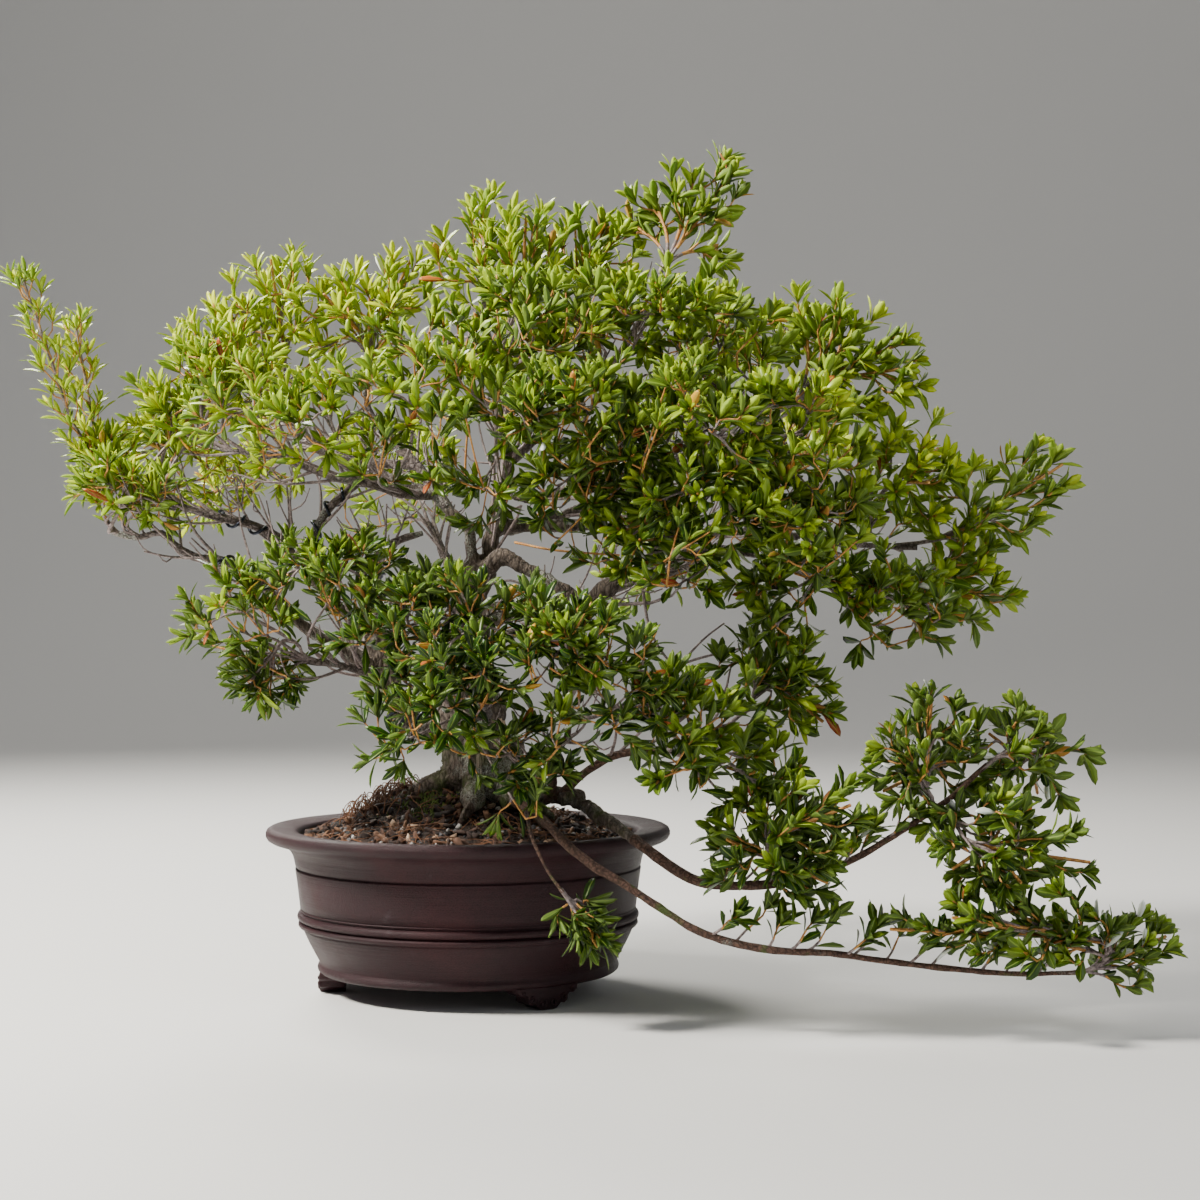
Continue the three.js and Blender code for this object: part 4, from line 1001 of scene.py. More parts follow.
# %% Training wires
WIRE_RADIUS = 1.5
WIRES = {
    "wire_low_left": ("limb_low_left", 0.15, 0.285, 12),
    "wire_low_left_top": ("limb_low_left", 0.64, 0.86, 20),
    "wire_left_rising": ("limb_left_rising", 0.5, 0.8, 22),
    "wire_left_lowest": ("limb_left_lowest", 0.44, 0.68, 22),
    "wire_left_crossing": ("limb_left_crossing", 0.3, 0.72, 20)}
WIRE_STEPS_A_TURN = 14
WIRE_CLEARANCE = 1.0

anodised = new_material("black_anodised_aluminium", 0.28, Metallic=1.0)
anodised_worn = speckle(anodised, place(anodised), 240.0, 4.0)
dress(anodised, ramp(anodised, anodised_worn, (0.45, (0.02, 0.022, 0.03)), (0.75, (0.09, 0.1, 0.13))))


def coil(limb_name, first, last, pitch):
    course = limbs[limb_name]
    start, end, _ = LIMBS[limb_name]
    turns = course.length * (last - first) / (pitch * MM)
    shares = np.linspace(first, last, int(turns * WIRE_STEPS_A_TURN) + 1)
    heading = course.heading(shares)
    side = unit(np.cross(heading, UP))
    over = np.cross(side, heading)
    angle = 2 * math.pi * turns * (shares - first) / (last - first)
    reach = radii_along(start, end, shares, LIMB_TAPER) + (WIRE_RADIUS + WIRE_CLEARANCE) * MM
    out = side * np.cos(angle)[:, None] + over * np.sin(angle)[:, None]
    return course.at(shares) + out * reach[:, None]


for name, wire in WIRES.items():
    mesh = tubes(name, [(coil(*wire), WIRE_RADIUS * MM)], 2)
    finished(link(f"black_{name}", mesh, anodised), "wire", name)

# %% [markdown]
# ## The leaves
#
# An azalea leaf is small and leathery, widest past its middle, with a pointed tip, a pale midrib and
# edges that curve up a little. One leaf is shaped from a grid: the grid gives tidy rows, and each
# row is drawn in to the leaf's width there. A copy turned over closes it from below.

# %% One leaf
LEAF_STATIONS = (0.0, 0.3, 0.6, 0.85, 1.0)
LEAF_COLUMNS = 2
LEAF_WIDEST = 0.6
LEAF_FOLD = 0.2
LEAF_ARCH = 0.055
LEAF_THICKNESS = 0.012
LEAF_HALF_SHARE = 0.17
LEAF_PETIOLE = 0.1
LEAF_ROUNDNESS = 0.8
LEAF_EDGE = 0.01
LEAF_WELD = 1e-4


def leaf_width(v):
    """Half the leaf's width at a share v of its length, as a share of the widest."""
    bulge = math.sin(math.pi * min(max(v, 0.0), 1.0) ** (math.log(0.5) / math.log(LEAF_WIDEST)))
    return max(LEAF_PETIOLE * (1 - v) if v < 0.5 else 0.0, bulge ** LEAF_ROUNDNESS)


def leaf_template():
    bm = bmesh.new()
    uv = bm.loops.layers.uv.new("UVMap")
    rows = len(LEAF_STATIONS) - 1
    bmesh.ops.create_grid(bm, x_segments=LEAF_COLUMNS, y_segments=rows, size=0.5)
    for vert in bm.verts:
        vert.co.y = LEAF_STATIONS[round((vert.co.y + 0.5) * rows)] - 0.5
    for face in bm.faces:
        for loop in face.loops:
            loop[uv].uv = (loop.vert.co.x + 0.5, loop.vert.co.y + 0.5)
    copy = bmesh.ops.duplicate(bm, geom=bm.verts[:] + bm.edges[:] + bm.faces[:])["geom"]
    under = [item for item in copy if isinstance(item, bmesh.types.BMFace)]
    bmesh.ops.reverse_faces(bm, faces=under)
    for face in under:
        face.material_index = 1
    under_verts = {vert for face in under for vert in face.verts}
    for vert in bm.verts:
        across, v = 2 * vert.co.x, vert.co.y + 0.5
        half = leaf_width(v)
        fold = LEAF_FOLD * abs(across) * half
        arch = LEAF_ARCH * (math.sin(math.pi * v * 0.8) - 1.1 * v * v)
        rim = abs(across) > 1 - LEAF_EDGE or v < LEAF_EDGE or v > 1 - LEAF_EDGE
        sunk = LEAF_THICKNESS if vert in under_verts and not rim else 0.0
        vert.co = Vector((across * half, v, fold * LEAF_HALF_SHARE + arch - sunk))
    bmesh.ops.remove_doubles(bm, verts=bm.verts, dist=LEAF_WELD)
    bm.normal_update()
    return bm


leaf_mesh = to_mesh(leaf_template(), "leaf")
print("a leaf has", len(leaf_mesh.polygons), "faces and", len(leaf_mesh.vertices), "points")

# %% [markdown]
# Thousands of leaves are stamped from that one. For each, a stamp holds its place, its three axes
# and its tone. Turning all copies at once with numpy takes a moment, where an object for each leaf
# would take minutes.

# %% Stamping copies
def read_template(mesh):
    corners = np.array([corner.vertex_index for corner in mesh.loops])
    sizes = np.array([face.loop_total for face in mesh.polygons])
    materials = np.array([face.material_index for face in mesh.polygons])
    uvs = np.zeros((len(mesh.loops), 2))
    if mesh.uv_layers:
        flat = np.empty(len(mesh.loops) * 2)
        mesh.uv_layers[0].data.foreach_get("uv", flat)
        uvs = flat.reshape(-1, 2)
    return get_points(mesh), corners, sizes, materials, uvs


def stamped(name, template, places, frames, tones):
    """Copies of a template. frames are 3 by 3: the scaled x, y and z axes of each copy as rows."""
    points, corners, sizes, materials, uvs = template
    count = len(places)
    all_points = np.einsum("pk,nkd->npd", points, frames) + places[:, None, :]
    all_corners = corners[None, :] + len(points) * np.arange(count)[:, None]
    mesh = bpy.data.meshes.new(name)
    mesh.vertices.add(count * len(points))
    mesh.vertices.foreach_set("co", all_points.ravel())
    mesh.loops.add(count * len(corners))
    mesh.loops.foreach_set("vertex_index", all_corners.ravel())
    mesh.polygons.add(count * len(sizes))
    starts = np.concatenate([[0], np.cumsum(np.tile(sizes, count))[:-1]])
    mesh.polygons.foreach_set("loop_start", starts)
    mesh.polygons.foreach_set("material_index", np.tile(materials, count))
    mesh.update(calc_edges=True)
    layer = mesh.uv_layers.new(name="UVMap")
    layer.data.foreach_set("uv", np.tile(uvs, (count, 1)).ravel())
    tone = mesh.color_attributes.new("tone", "FLOAT_COLOR", "POINT")
    tone.data.foreach_set("color", np.repeat(tones, len(points), axis=0).ravel())
    mesh.polygons.foreach_set("use_smooth", [True] * len(mesh.polygons))
    return mesh


leaf = read_template(leaf_mesh)
print("stamp of", len(leaf[0]), "points")

# %% [markdown]
# The leaf's colour runs from deep green, painted shade inside the crown, to yellow-green on young
# tips and where painted light falls, and a few old leaves turn orange. The stamp's tone carries
# that: red is chance, green is youth together with painted light and shade, blue is age, and alpha
# marks a leaf with a painted silvery glint. The upper side is waxy and catches the light. The
# underside is paler and dull.

# %% Leaf materials
RIB_COLOR = (0.3, 0.42, 0.05)
RIB_WIDTH = {"full": 0.03, "none": 0.09, "share": 0.45}
PALE_UNDER = (0.2, 0.3, 0.05)
PALE_SHARE = 0.25
# Painted highlight: the pale colour that a glinting leaf is mixed towards.
PAINTED_GLINT_COLOR = (0.75, 0.8, 0.72)


def leaf_material(name, roughness, under):
    green = new_material(name, roughness, Subsurface_Weight=0.1, Specular_IOR_Level=0.26)
    shader = green.node_tree.nodes["Principled BSDF"]
    shader.inputs["Subsurface Radius"].default_value = (0.6, 1.0, 0.2)
    shader.inputs["Subsurface Scale"].default_value = 0.0015
    tone = add(green, "ShaderNodeVertexColor", {}, layer_name="tone").outputs
    parts = add(green, "ShaderNodeSeparateColor", {"Color": tone["Color"]}).outputs
    youth_and_light_color = ramp(green, parts["Green"], (0.0, (0.013, 0.036, 0.004)), (0.3, (0.062, 0.115, 0.008)),
                 (0.6, (0.25, 0.37, 0.005)), (1.0, (0.53, 0.62, 0.008)))
    varied = ramp(green, parts["Red"], (0.0, (0.72, 0.78, 0.8)), (1.0, (1.25, 1.15, 1.0)))
    color = mix(green, 1.0, youth_and_light_color, varied, "MULTIPLY")
    autumn = ramp(green, parts["Red"], (0.0, (0.3, 0.035, 0.02)), (0.5, (0.42, 0.1, 0.02)),
                  (1.0, (0.5, 0.26, 0.02)))
    color = mix(green, parts["Blue"], color, autumn)
    uv = add(green, "ShaderNodeUVMap", {}, uv_map="UVMap").outputs["UV"]
    across = add(green, "ShaderNodeSeparateXYZ", {"Vector": uv}).outputs["X"]
    off_rib = calculate(green, "ABSOLUTE", calculate(green, "SUBTRACT", across, 0.5))
    rib = level(green, off_rib, RIB_WIDTH["none"], RIB_WIDTH["full"])
    color = mix(green, calculate(green, "MULTIPLY", rib, RIB_WIDTH["share"]), color, RIB_COLOR)
    if under:
        color = mix(green, PALE_SHARE, color, PALE_UNDER)
    # Painted highlight: a leaf marked to glint takes the pale glint colour.
    color = mix(green, tone["Alpha"], color, PAINTED_GLINT_COLOR)
    return dress(green, color)


leaf_top = leaf_material("leaf_upper_side", 0.34, False)
leaf_under = leaf_material("leaf_underside", 0.6, True)
print("leaf colours set")

# %% [markdown]
# A shoot ends in a whorl: six to eight leaves close together round a bud, with the inner ones
# smaller and more upright. Single leaves stand along the shoot below it. Leaves follow the golden
# angle, as they do on the plant, so no leaf lies right over the one below.

# %% A whorl of leaves
LEAF_LENGTH = 26.0
LEAF_HALF_WIDTH = {"left": 2.7, "right": 4.5, "crown": 0.6}
LEAF_TWIST = 0.2
GOLDEN_ANGLE = math.pi * (3 - math.sqrt(5))
TONE_CHANCE = 0.09
OLD_LEAF_SHARE = 0.013
GLINT_SHARE = 0.002
WHORL = {
    "leaves": (6, 9), "depth": 4.0, "lean": 0.62, "inner_lean": 0.68, "lean_chance": 0.15,
    "longest": 1.05, "inner_shorter": 0.34, "length_chance": (0.85, 1.1), "inner_younger": 0.22}
SINGLE = {"highest": 0.95, "lean": 1.0, "lean_chance": 0.14, "length": (0.72, 1.02), "older": 0.08}
LOW_RIGHT = {"x": 330, "z": 270, "glints": 0.035, "leaf": 0.88, "shoots": 0.75}


def across_of(heading):
    helper = UP if abs(heading[2]) < 0.95 else np.array([1.0, 0.0, 0.0])
    side = unit(np.cross(heading, helper))
    return side, np.cross(side, heading)


def turned(heading, angle):
    side, over = across_of(heading)
    return side * math.cos(angle) + over * math.sin(angle)


def half_width(at):
    share = np.clip((at[0] - AXIS[0]) / LEAF_HALF_WIDTH["crown"] + 0.5, 0, 1)
    return LEAF_HALF_WIDTH["left"] * (1 - share) + LEAF_HALF_WIDTH["right"] * share


def is_low_right(at):
    x, _, z = (at - AXIS) / MM
    return x > LOW_RIGHT["x"] and z < LOW_RIGHT["z"]


def add_leaf(leaves, at, axis, out, lean, length, youth_and_light):
    along = unit(out * math.cos(lean) + axis * math.sin(lean))
    side = np.cross(along, unit(axis * math.cos(lean) - out * math.sin(lean)))
    side = unit(side + rng.normal(0, LEAF_TWIST, 3))
    over = unit(np.cross(side, along))
    full = length / LEAF_LENGTH
    low_right = is_low_right(at)
    length *= LOW_RIGHT["leaf"] if low_right else 1.0
    half = half_width(at) * (0.25 + 0.75 * full) * rng.uniform(0.88, 1.12) * MM
    old = 1.0 if rng.random() < OLD_LEAF_SHARE else 0.0
    # A few leaves, more of them in the low right, are marked for a painted silvery glint.
    glint = 1.0 if rng.random() < (LOW_RIGHT["glints"] if low_right else GLINT_SHARE) else 0.0
    tone = (rng.random(), np.clip(youth_and_light + rng.normal(0, TONE_CHANCE), 0, 1), old, glint)
    leaves.append((at, np.stack([side * half, along * length * MM, over * length * MM]), tone))


def add_whorl(leaves, tip, axis, youth_and_light, size=1.0):
    count = rng.integers(*WHORL["leaves"])
    youth_and_light += rng.normal(0, TONE_CHANCE)
    turn = rng.uniform(0, 2 * math.pi)
    for i in range(count):
        inner = i / count
        out = turned(axis, turn + i * GOLDEN_ANGLE)
        lean = WHORL["lean"] + WHORL["inner_lean"] * inner + rng.normal(0, WHORL["lean_chance"])
        length = LEAF_LENGTH * size * (WHORL["longest"] - WHORL["inner_shorter"] * inner)
        length *= rng.uniform(*WHORL["length_chance"])
        at = tip - axis * (WHORL["depth"] * (1 - inner)) * MM
        add_leaf(leaves, at, axis, out, lean, length, youth_and_light + WHORL["inner_younger"] * inner)


def add_single_leaves(leaves, line, youth_and_light, count, size, lowest=0.4):
    turn = rng.uniform(0, 2 * math.pi)
    for i in range(count):
        share = SINGLE["highest"] - (SINGLE["highest"] - lowest) * (i + rng.random()) / count
        axis = line.heading(share)
        out = turned(axis, turn + i * GOLDEN_ANGLE)
        length = LEAF_LENGTH * size * rng.uniform(*SINGLE["length"])
        lean = SINGLE["lean"] + rng.normal(0, SINGLE["lean_chance"])
        add_leaf(leaves, line.at(share), axis, out, lean, length, youth_and_light - SINGLE["older"])


print("a whorl holds 6 to 8 leaves")

# %% [markdown]
# A spray starts as one stem from its limb. Pruned ones end in tufts: domes of shoots, each with side
# twigs and whorls of their own. Those left to run end in fans of long shoots with leaves all along.
# A shoot leaves the nearest wood that points its way. Shoots that are already there count as wood,
# so the spray forks as a real one does.

# %% Wood that a spray is made of
STEM_RADIUS = 1.9
SHOOT_RADIUS = 1.3
TWIG_RADIUS = 0.85
TIP_RADIUS = 0.65
BUD_RADIUS = 1.5
BUD_TIP_RADIUS = 0.2
BUD_LENGTH = 7.0
BUD_SWELLS_AT = 0.4
STEM_BEND = 0.35
EARLIEST_STEM = 0.05
FAR_STEM = 0.5
SHORTEST_SHOOT = 30.0
STRAIGHT_COST = 1.8
OLD_WOOD, NEW_WOOD = 0, 1
# Painted light: the leaf tone is raised towards the back, where leaves are backlit, and round the spots
# of sun, and lowered at one spot of painted shade low in the middle.
SHELTERED = 0.24
BACKLIT = 0.24
BACK_REACH = 200.0
YOUTH_AND_LIGHT_RANGE = (0.03, 0.92)
PAINTED_SUN_AND_SHADE_SPOTS = [
    {"x": -270, "z": 520, "reach": 190, "gain": 0.5},
    {"x": -60, "z": 640, "reach": 150, "gain": 0.4},
    {"x": 200, "z": 620, "reach": 170, "gain": 0.2},
    {"x": 300, "z": 480, "reach": 190, "gain": 0.26},
    {"x": 450, "z": 430, "reach": 140, "gain": 0.16},
    {"x": 250, "z": 230, "reach": 90, "gain": 0.2},
    {"x": 540, "z": 150, "reach": 130, "gain": 0.2},
    {"x": -20, "z": 250, "reach": 110, "gain": -0.22}]


def stem_points(limb_name, base, tip):
    limb = limbs[limb_name]
    shares = np.linspace(0, 1, 61)
    reach = np.linalg.norm(limb.at(shares) - base, axis=1)
    nearest = shares[np.argmin(reach)]
    start_share = max(EARLIEST_STEM, nearest - FAR_STEM * reach.min() / limb.length)
    start = limb.at(start_share)
    bend = start + limb.heading(start_share) * STEM_BEND * np.linalg.norm(base - start)
    return np.array([start, 0.7 * bend + 0.3 * base, base, tip])


def youth_and_painted_light_at(tip):
    """Painted light and shade: yellower where light falls, deep green in the tree's own shade."""
    x, y, z = (tip - AXIS) / MM
    youth_and_light = SHELTERED + BACKLIT * np.clip(y / BACK_REACH, -0.5, 1)
    for spot in PAINTED_SUN_AND_SHADE_SPOTS:
        away = np.hypot(x - spot["x"], z - spot["z"]) / spot["reach"]
        youth_and_light += spot["gain"] * math.exp(-away * away)
    return np.clip(youth_and_light, *YOUTH_AND_LIGHT_RANGE)


def bent(start, way, end, axis):
    """A twig's course: it leaves along its wood, arrives along its own axis, and wavers between."""
    length = np.linalg.norm(end - start)
    first = start + 0.35 * length * unit(way + unit(end - start))
    last = end - 0.25 * length * axis
    waver = rng.normal(0, 0.035 * length, (2, 3))
    return Course(np.array([start, first + waver[0], last + waver[1], end]))


def nearest_wood(skeleton, tip):
    nodes = np.array([node for node, _ in skeleton])
    ways = np.array([way for _, way in skeleton])
    gap = tip - nodes
    reach = np.linalg.norm(gap, axis=1)
    straight = np.einsum("ij,ij->i", unit(gap), ways)
    cost = np.maximum(reach, SHORTEST_SHOOT * MM) * (STRAIGHT_COST - straight)
    cost *= rng.uniform(0.7, 1.3, len(skeleton))
    return skeleton[int(np.argmin(cost))]


def add_twig(twigs, line, start, end, young_share, steps):
    """A twig with grey wood first, golden wood after it, and a bud on its end."""
    shares = np.linspace(0, 1, steps + 1)
    radii = np.linspace(start, end, steps + 1)
    turn = steps - int(round(young_share * steps))
    if turn:
        twigs.append((line.at(shares[:turn + 1]), radii[:turn + 1] * MM, OLD_WOOD))
    tip = line.at(1.0)
    bud = [tip + line.heading(1.0) * BUD_LENGTH * share * MM for share in (BUD_SWELLS_AT, 1.0)]
    points = np.vstack([line.at(shares[turn:]), bud])
    widths = np.concatenate([radii[turn:], [BUD_RADIUS, BUD_TIP_RADIUS]])
    twigs.append((points, widths * MM, NEW_WOOD))


print(len(PAINTED_SUN_AND_SHADE_SPOTS), "spots of sun and shade")

# %% Tufts
SHOOTS_PER_TUFT = 2.7
FROM_LIMB_SHARE = 0.45
LIMB_RADIUS = 1.7
SHOOT_GOLDEN = 0.3
SHOOT_FORKS = (0.3, 0.5, 0.7)
SHOOT_SINGLES = (3, 6)
SIDE_TWIGS = {
    "number": (2, 5), "span": (0.4, 0.9), "length": (16, 30), "golden": 0.7, "older": 0.88,
    "size": (0.8, 1.0), "singles": (0, 3), "single_older": 0.8}
OUTWARD_REACH = 420.0
LEAF_ROOM = 24.0
DOME = {"drop": 0.62, "top": 0.3, "chance": 0.2, "reach": 1.12, "scatter": 0.08, "stretch": (0, 0.3)}


def grow_shoot(skeleton, limb_wood, twigs, leaves, end, axis, youth_and_light, size):
    from_limb = rng.random() < FROM_LIMB_SHARE
    start, way = limb_wood[rng.integers(len(limb_wood))] if from_limb else nearest_wood(skeleton, end)
    line = bent(start, way, end, axis)
    thickness = LIMB_RADIUS if from_limb else SHOOT_RADIUS
    add_twig(twigs, line, thickness, TIP_RADIUS, SHOOT_GOLDEN, 9)
    for share in SHOOT_FORKS:
        skeleton.append((line.at(share), line.heading(share)))
    add_whorl(leaves, end, unit(line.heading(1.0) + 0.6 * axis), youth_and_light, size)
    add_single_leaves(leaves, line, youth_and_light, rng.integers(*SHOOT_SINGLES), size)
    twig_turn = rng.uniform(0, 2 * math.pi)
    for i in range(rng.integers(*SIDE_TWIGS["number"])):
        share = rng.uniform(*SIDE_TWIGS["span"])
        at = line.at(share)
        heading = line.heading(share)
        out = unit(turned(heading, twig_turn + i * GOLDEN_ANGLE) + 0.35 * UP)
        length = rng.uniform(*SIDE_TWIGS["length"]) * MM
        twig_axis = unit(heading + 0.9 * out + 0.3 * UP)
        twig_end = at + unit(0.7 * heading + out) * length
        twig = bent(at, heading, twig_end, twig_axis)
        add_twig(twigs, twig, TWIG_RADIUS, TIP_RADIUS, SIDE_TWIGS["golden"], 4)
        twig_size = size * rng.uniform(*SIDE_TWIGS["size"])
        add_whorl(leaves, twig_end, twig_axis, youth_and_light * SIDE_TWIGS["older"], twig_size)
        singles = rng.integers(*SIDE_TWIGS["singles"])
        add_single_leaves(leaves, twig, youth_and_light * SIDE_TWIGS["single_older"], singles, size)


def grow_tuft(line, tip, spread, count, skeleton, limb_wood, twigs, leaves, turn):
    """Shoots end on a flat dome round the tip, with bare wood under it."""
    heading = unit(0.45 * line.heading(1.0) + 0.9 * UP)
    outward = np.array([(tip[0] - AXIS[0]) / MM / OUTWARD_REACH, 0.0, 0.0])
    for i in range(count):
        reach = math.sqrt((i + 0.4) / count)
        out = turned(heading, turn + i * GOLDEN_ANGLE)
        rise = DOME["top"] - DOME["drop"] * reach * reach
        rise = spread * (rise + rng.uniform(-DOME["chance"], DOME["chance"]))
        end = tip + out * spread * reach * DOME["reach"] + heading * rise
        end = end + spread * rng.normal(0, DOME["scatter"], 3)
        axis = unit(heading * 0.4 + out * 0.4 + UP * 0.7 + outward + rng.normal(0, 0.15, 3))
        end = end + axis * spread * rng.uniform(*DOME["stretch"])
        end[1] = np.clip(end[1], cad_box[0].y + LEAF_ROOM * MM, cad_box[1].y - LEAF_ROOM * MM)
        size = rng.uniform(0.85, 1.08)
        # Shoots high on the dome get a yellower tone: younger growth, and painted light on the top.
        youth_and_light = youth_and_painted_light_at(end) * (0.72 + 0.4 * np.clip(0.5 + rise / spread, 0, 1))
        grow_shoot(skeleton, limb_wood, twigs, leaves, end, axis, youth_and_light, size)


print("tufts keep", LEAF_ROOM, "mm inside the box in depth")

# %% Fans, whips and runners
FAN_SHOOTS = 3.4
FAN = {"length": 60.0, "along": 0.62, "spread": 0.35, "back_spread": 0.9, "scatter": 0.1}
FAN_FORKS = (0.4, 0.6, 0.8)
RUN_GOLDEN = 0.6
RUN_LEAF_STEP = 6.5
RUN_BARE = 0.2
WHIP = {
    "end": 0.93, "tufts": 5, "from": 0.36, "over": 0.62, "out": 9, "along": 16, "chance": (0.7, 1.5),
    "top_size": 0.75, "size": 0.78}
RUNNER = {
    "bare": 0.4, "side_bare": 0.15, "side_from": 0.35, "side_over": 0.4, "side_length": (28.0, 46.0),
    "size": 0.9}
ON_LIMB = {"length": (16, 44), "size": 0.95, "singles": (2, 5)}
LEAFY_LIMBS = {
    "low_right_plume": (0.42, 0.8, 12), "lowest_tip": (0.5, 0.97, 14), "right_tip": (0.55, 0.95, 6),
    "left_tip": (0.8, 0.98, 5)}


def grow_fan(line, tip, spread, count, skeleton, twigs, leaves, turn):
    """Long shoots that fan out from the stem, with leaves all along, as on a branch left to run."""
    heading = line.heading(1.0)
    length = np.linalg.norm(tip - line.at(0.0))
    for i in range(count):
        back = (i + 0.5) / count
        out = unit(turned(heading, turn + i * GOLDEN_ANGLE) + 0.3 * UP)
        end = tip - heading * back * FAN["along"] * length
        end = end + out * spread * (FAN["spread"] + FAN["back_spread"] * back)
        end = end + spread * rng.normal(0, FAN["scatter"], 3)
        axis = unit(heading + 0.35 * out + 0.3 * UP)
        start, way = nearest_wood(skeleton, end - heading * 0.5 * FAN["length"] * MM)
        shoot = bent(start, way, end, axis)
        youth_and_light = youth_and_painted_light_at(end)
        size = rng.uniform(0.85, 1.05)
        add_twig(twigs, shoot, SHOOT_RADIUS, TIP_RADIUS, RUN_GOLDEN, 8)
        add_whorl(leaves, end, axis, youth_and_light, size)
        leaf_steps = int(shoot.length / (RUN_LEAF_STEP * MM))
        add_single_leaves(leaves, shoot, youth_and_light, leaf_steps, size, RUN_BARE)
        for share in FAN_FORKS:
            skeleton.append((shoot.at(share), shoot.heading(share)))


def grow_whip(stem, twigs, leaves, count):
    """One long shoot with short tufts all up it, on the side that each turn of the angle gives."""
    add_whorl(leaves, stem.at(1.0), stem.heading(1.0), youth_and_painted_light_at(stem.at(1.0)), WHIP["top_size"])
    count *= WHIP["tufts"]
    for i in range(count):
        share = WHIP["from"] + WHIP["over"] * (i + 0.5) / count
        at = stem.at(share)
        axis = stem.heading(share)
        out = turned(axis, i * GOLDEN_ANGLE)
        end = at + (out * WHIP["out"] + axis * WHIP["along"]) * MM * rng.uniform(*WHIP["chance"])
        line = bent(at, axis, end, unit(axis + 0.3 * out))
        add_twig(twigs, line, TWIG_RADIUS, TIP_RADIUS, 1.0, 3)
        add_whorl(leaves, end, unit(axis + 0.4 * out + 0.3 * UP), youth_and_painted_light_at(at), WHIP["size"])


def grow_runner(stem, twigs, leaves, side_shoots):
    """One long shoot with leaves all up it and a few side shoots that run the same way."""
    youth_and_light = youth_and_painted_light_at(stem.at(1.0))
    runs = [(stem, RUNNER["bare"])]
    for i in range(side_shoots):
        share = RUNNER["side_from"] + RUNNER["side_over"] * (i + rng.random()) / side_shoots
        axis = stem.heading(share)
        out = turned(axis, i * GOLDEN_ANGLE * 2 + rng.uniform(0, 1))
        length = rng.uniform(*RUNNER["side_length"]) * MM
        end = stem.at(share) + unit(axis + 0.55 * out) * length
        side = bent(stem.at(share), axis, end, unit(axis + 0.15 * out))
        add_twig(twigs, side, SHOOT_RADIUS, TIP_RADIUS, 1.0, 5)
        runs.append((side, RUNNER["side_bare"]))
    for run, bare in runs:
        count = int(run.length * (1 - bare) / (RUN_LEAF_STEP * MM))
        add_single_leaves(leaves, run, youth_and_light, count, 1.0, bare)
        add_whorl(leaves, run.at(1.0), run.heading(1.0), youth_and_light, RUNNER["size"])


def grow_on_limb(limb, first, last, count, twigs, leaves):
    """Short leafy shoots that stand up on a limb itself, between two shares of its length."""
    for i in range(count):
        share = first + (last - first) * (i + rng.random()) / count
        axis = limb.heading(share)
        out = unit(turned(axis, i * GOLDEN_ANGLE) + 1.5 * UP)
        length = rng.uniform(*ON_LIMB["length"])
        end = limb.at(share) + unit(0.7 * axis + out) * length * MM
        shoot = bent(limb.at(share), unit(axis + out), end, unit(out + 0.6 * axis))
        youth_and_light = youth_and_painted_light_at(end)
        add_twig(twigs, shoot, SHOOT_RADIUS, TIP_RADIUS, RUN_GOLDEN, 5)
        add_whorl(leaves, end, unit(out + 0.6 * axis), youth_and_light, ON_LIMB["size"])
        singles = rng.integers(*ON_LIMB["singles"])
        add_single_leaves(leaves, shoot, youth_and_light, singles, ON_LIMB["size"], RUN_BARE)


print(len(LEAFY_LIMBS), "limbs carry leaves of their own")

# %% [markdown]
# A spray's first tuft stands on the stem's own end. The others stand on forks of it. The outer part
# of a stem that was left to run is still golden.

# %% Growing a spray
FAN_SPRAYS = (
    "low_right_plume", "low_right_top", "low_right_side", "low_right_near", "lowest_tip", "hanging",
    "right_crown_plume", "right_top_whip", "crown_plume", "crown_top_right", "right_tip",
    "right_side_high", "mid_right_tall", "left_crown_plume", "crown_top_left", "left_crown_high",
    "crown_front_plume", "right_low")
SPARSE_SPRAYS = ("left_front_low", "left_front_high", "front_left", "front_mid", "crown_front_left")
SPARSER = 0.55
FORKED_FULLER = 1.35
GOLDEN_FROM = 0.4
STEM_STEPS = 14
FORK_WOOD_FROM = 0.2
WOOD_UP_TO = 0.9
WOOD_PLACES = 10
LIMB_STRETCH = 0.24
LIMB_PLACES = 9
LIMB_SPAN = (0.1, 0.98)
TUFT_TURN = 1.3


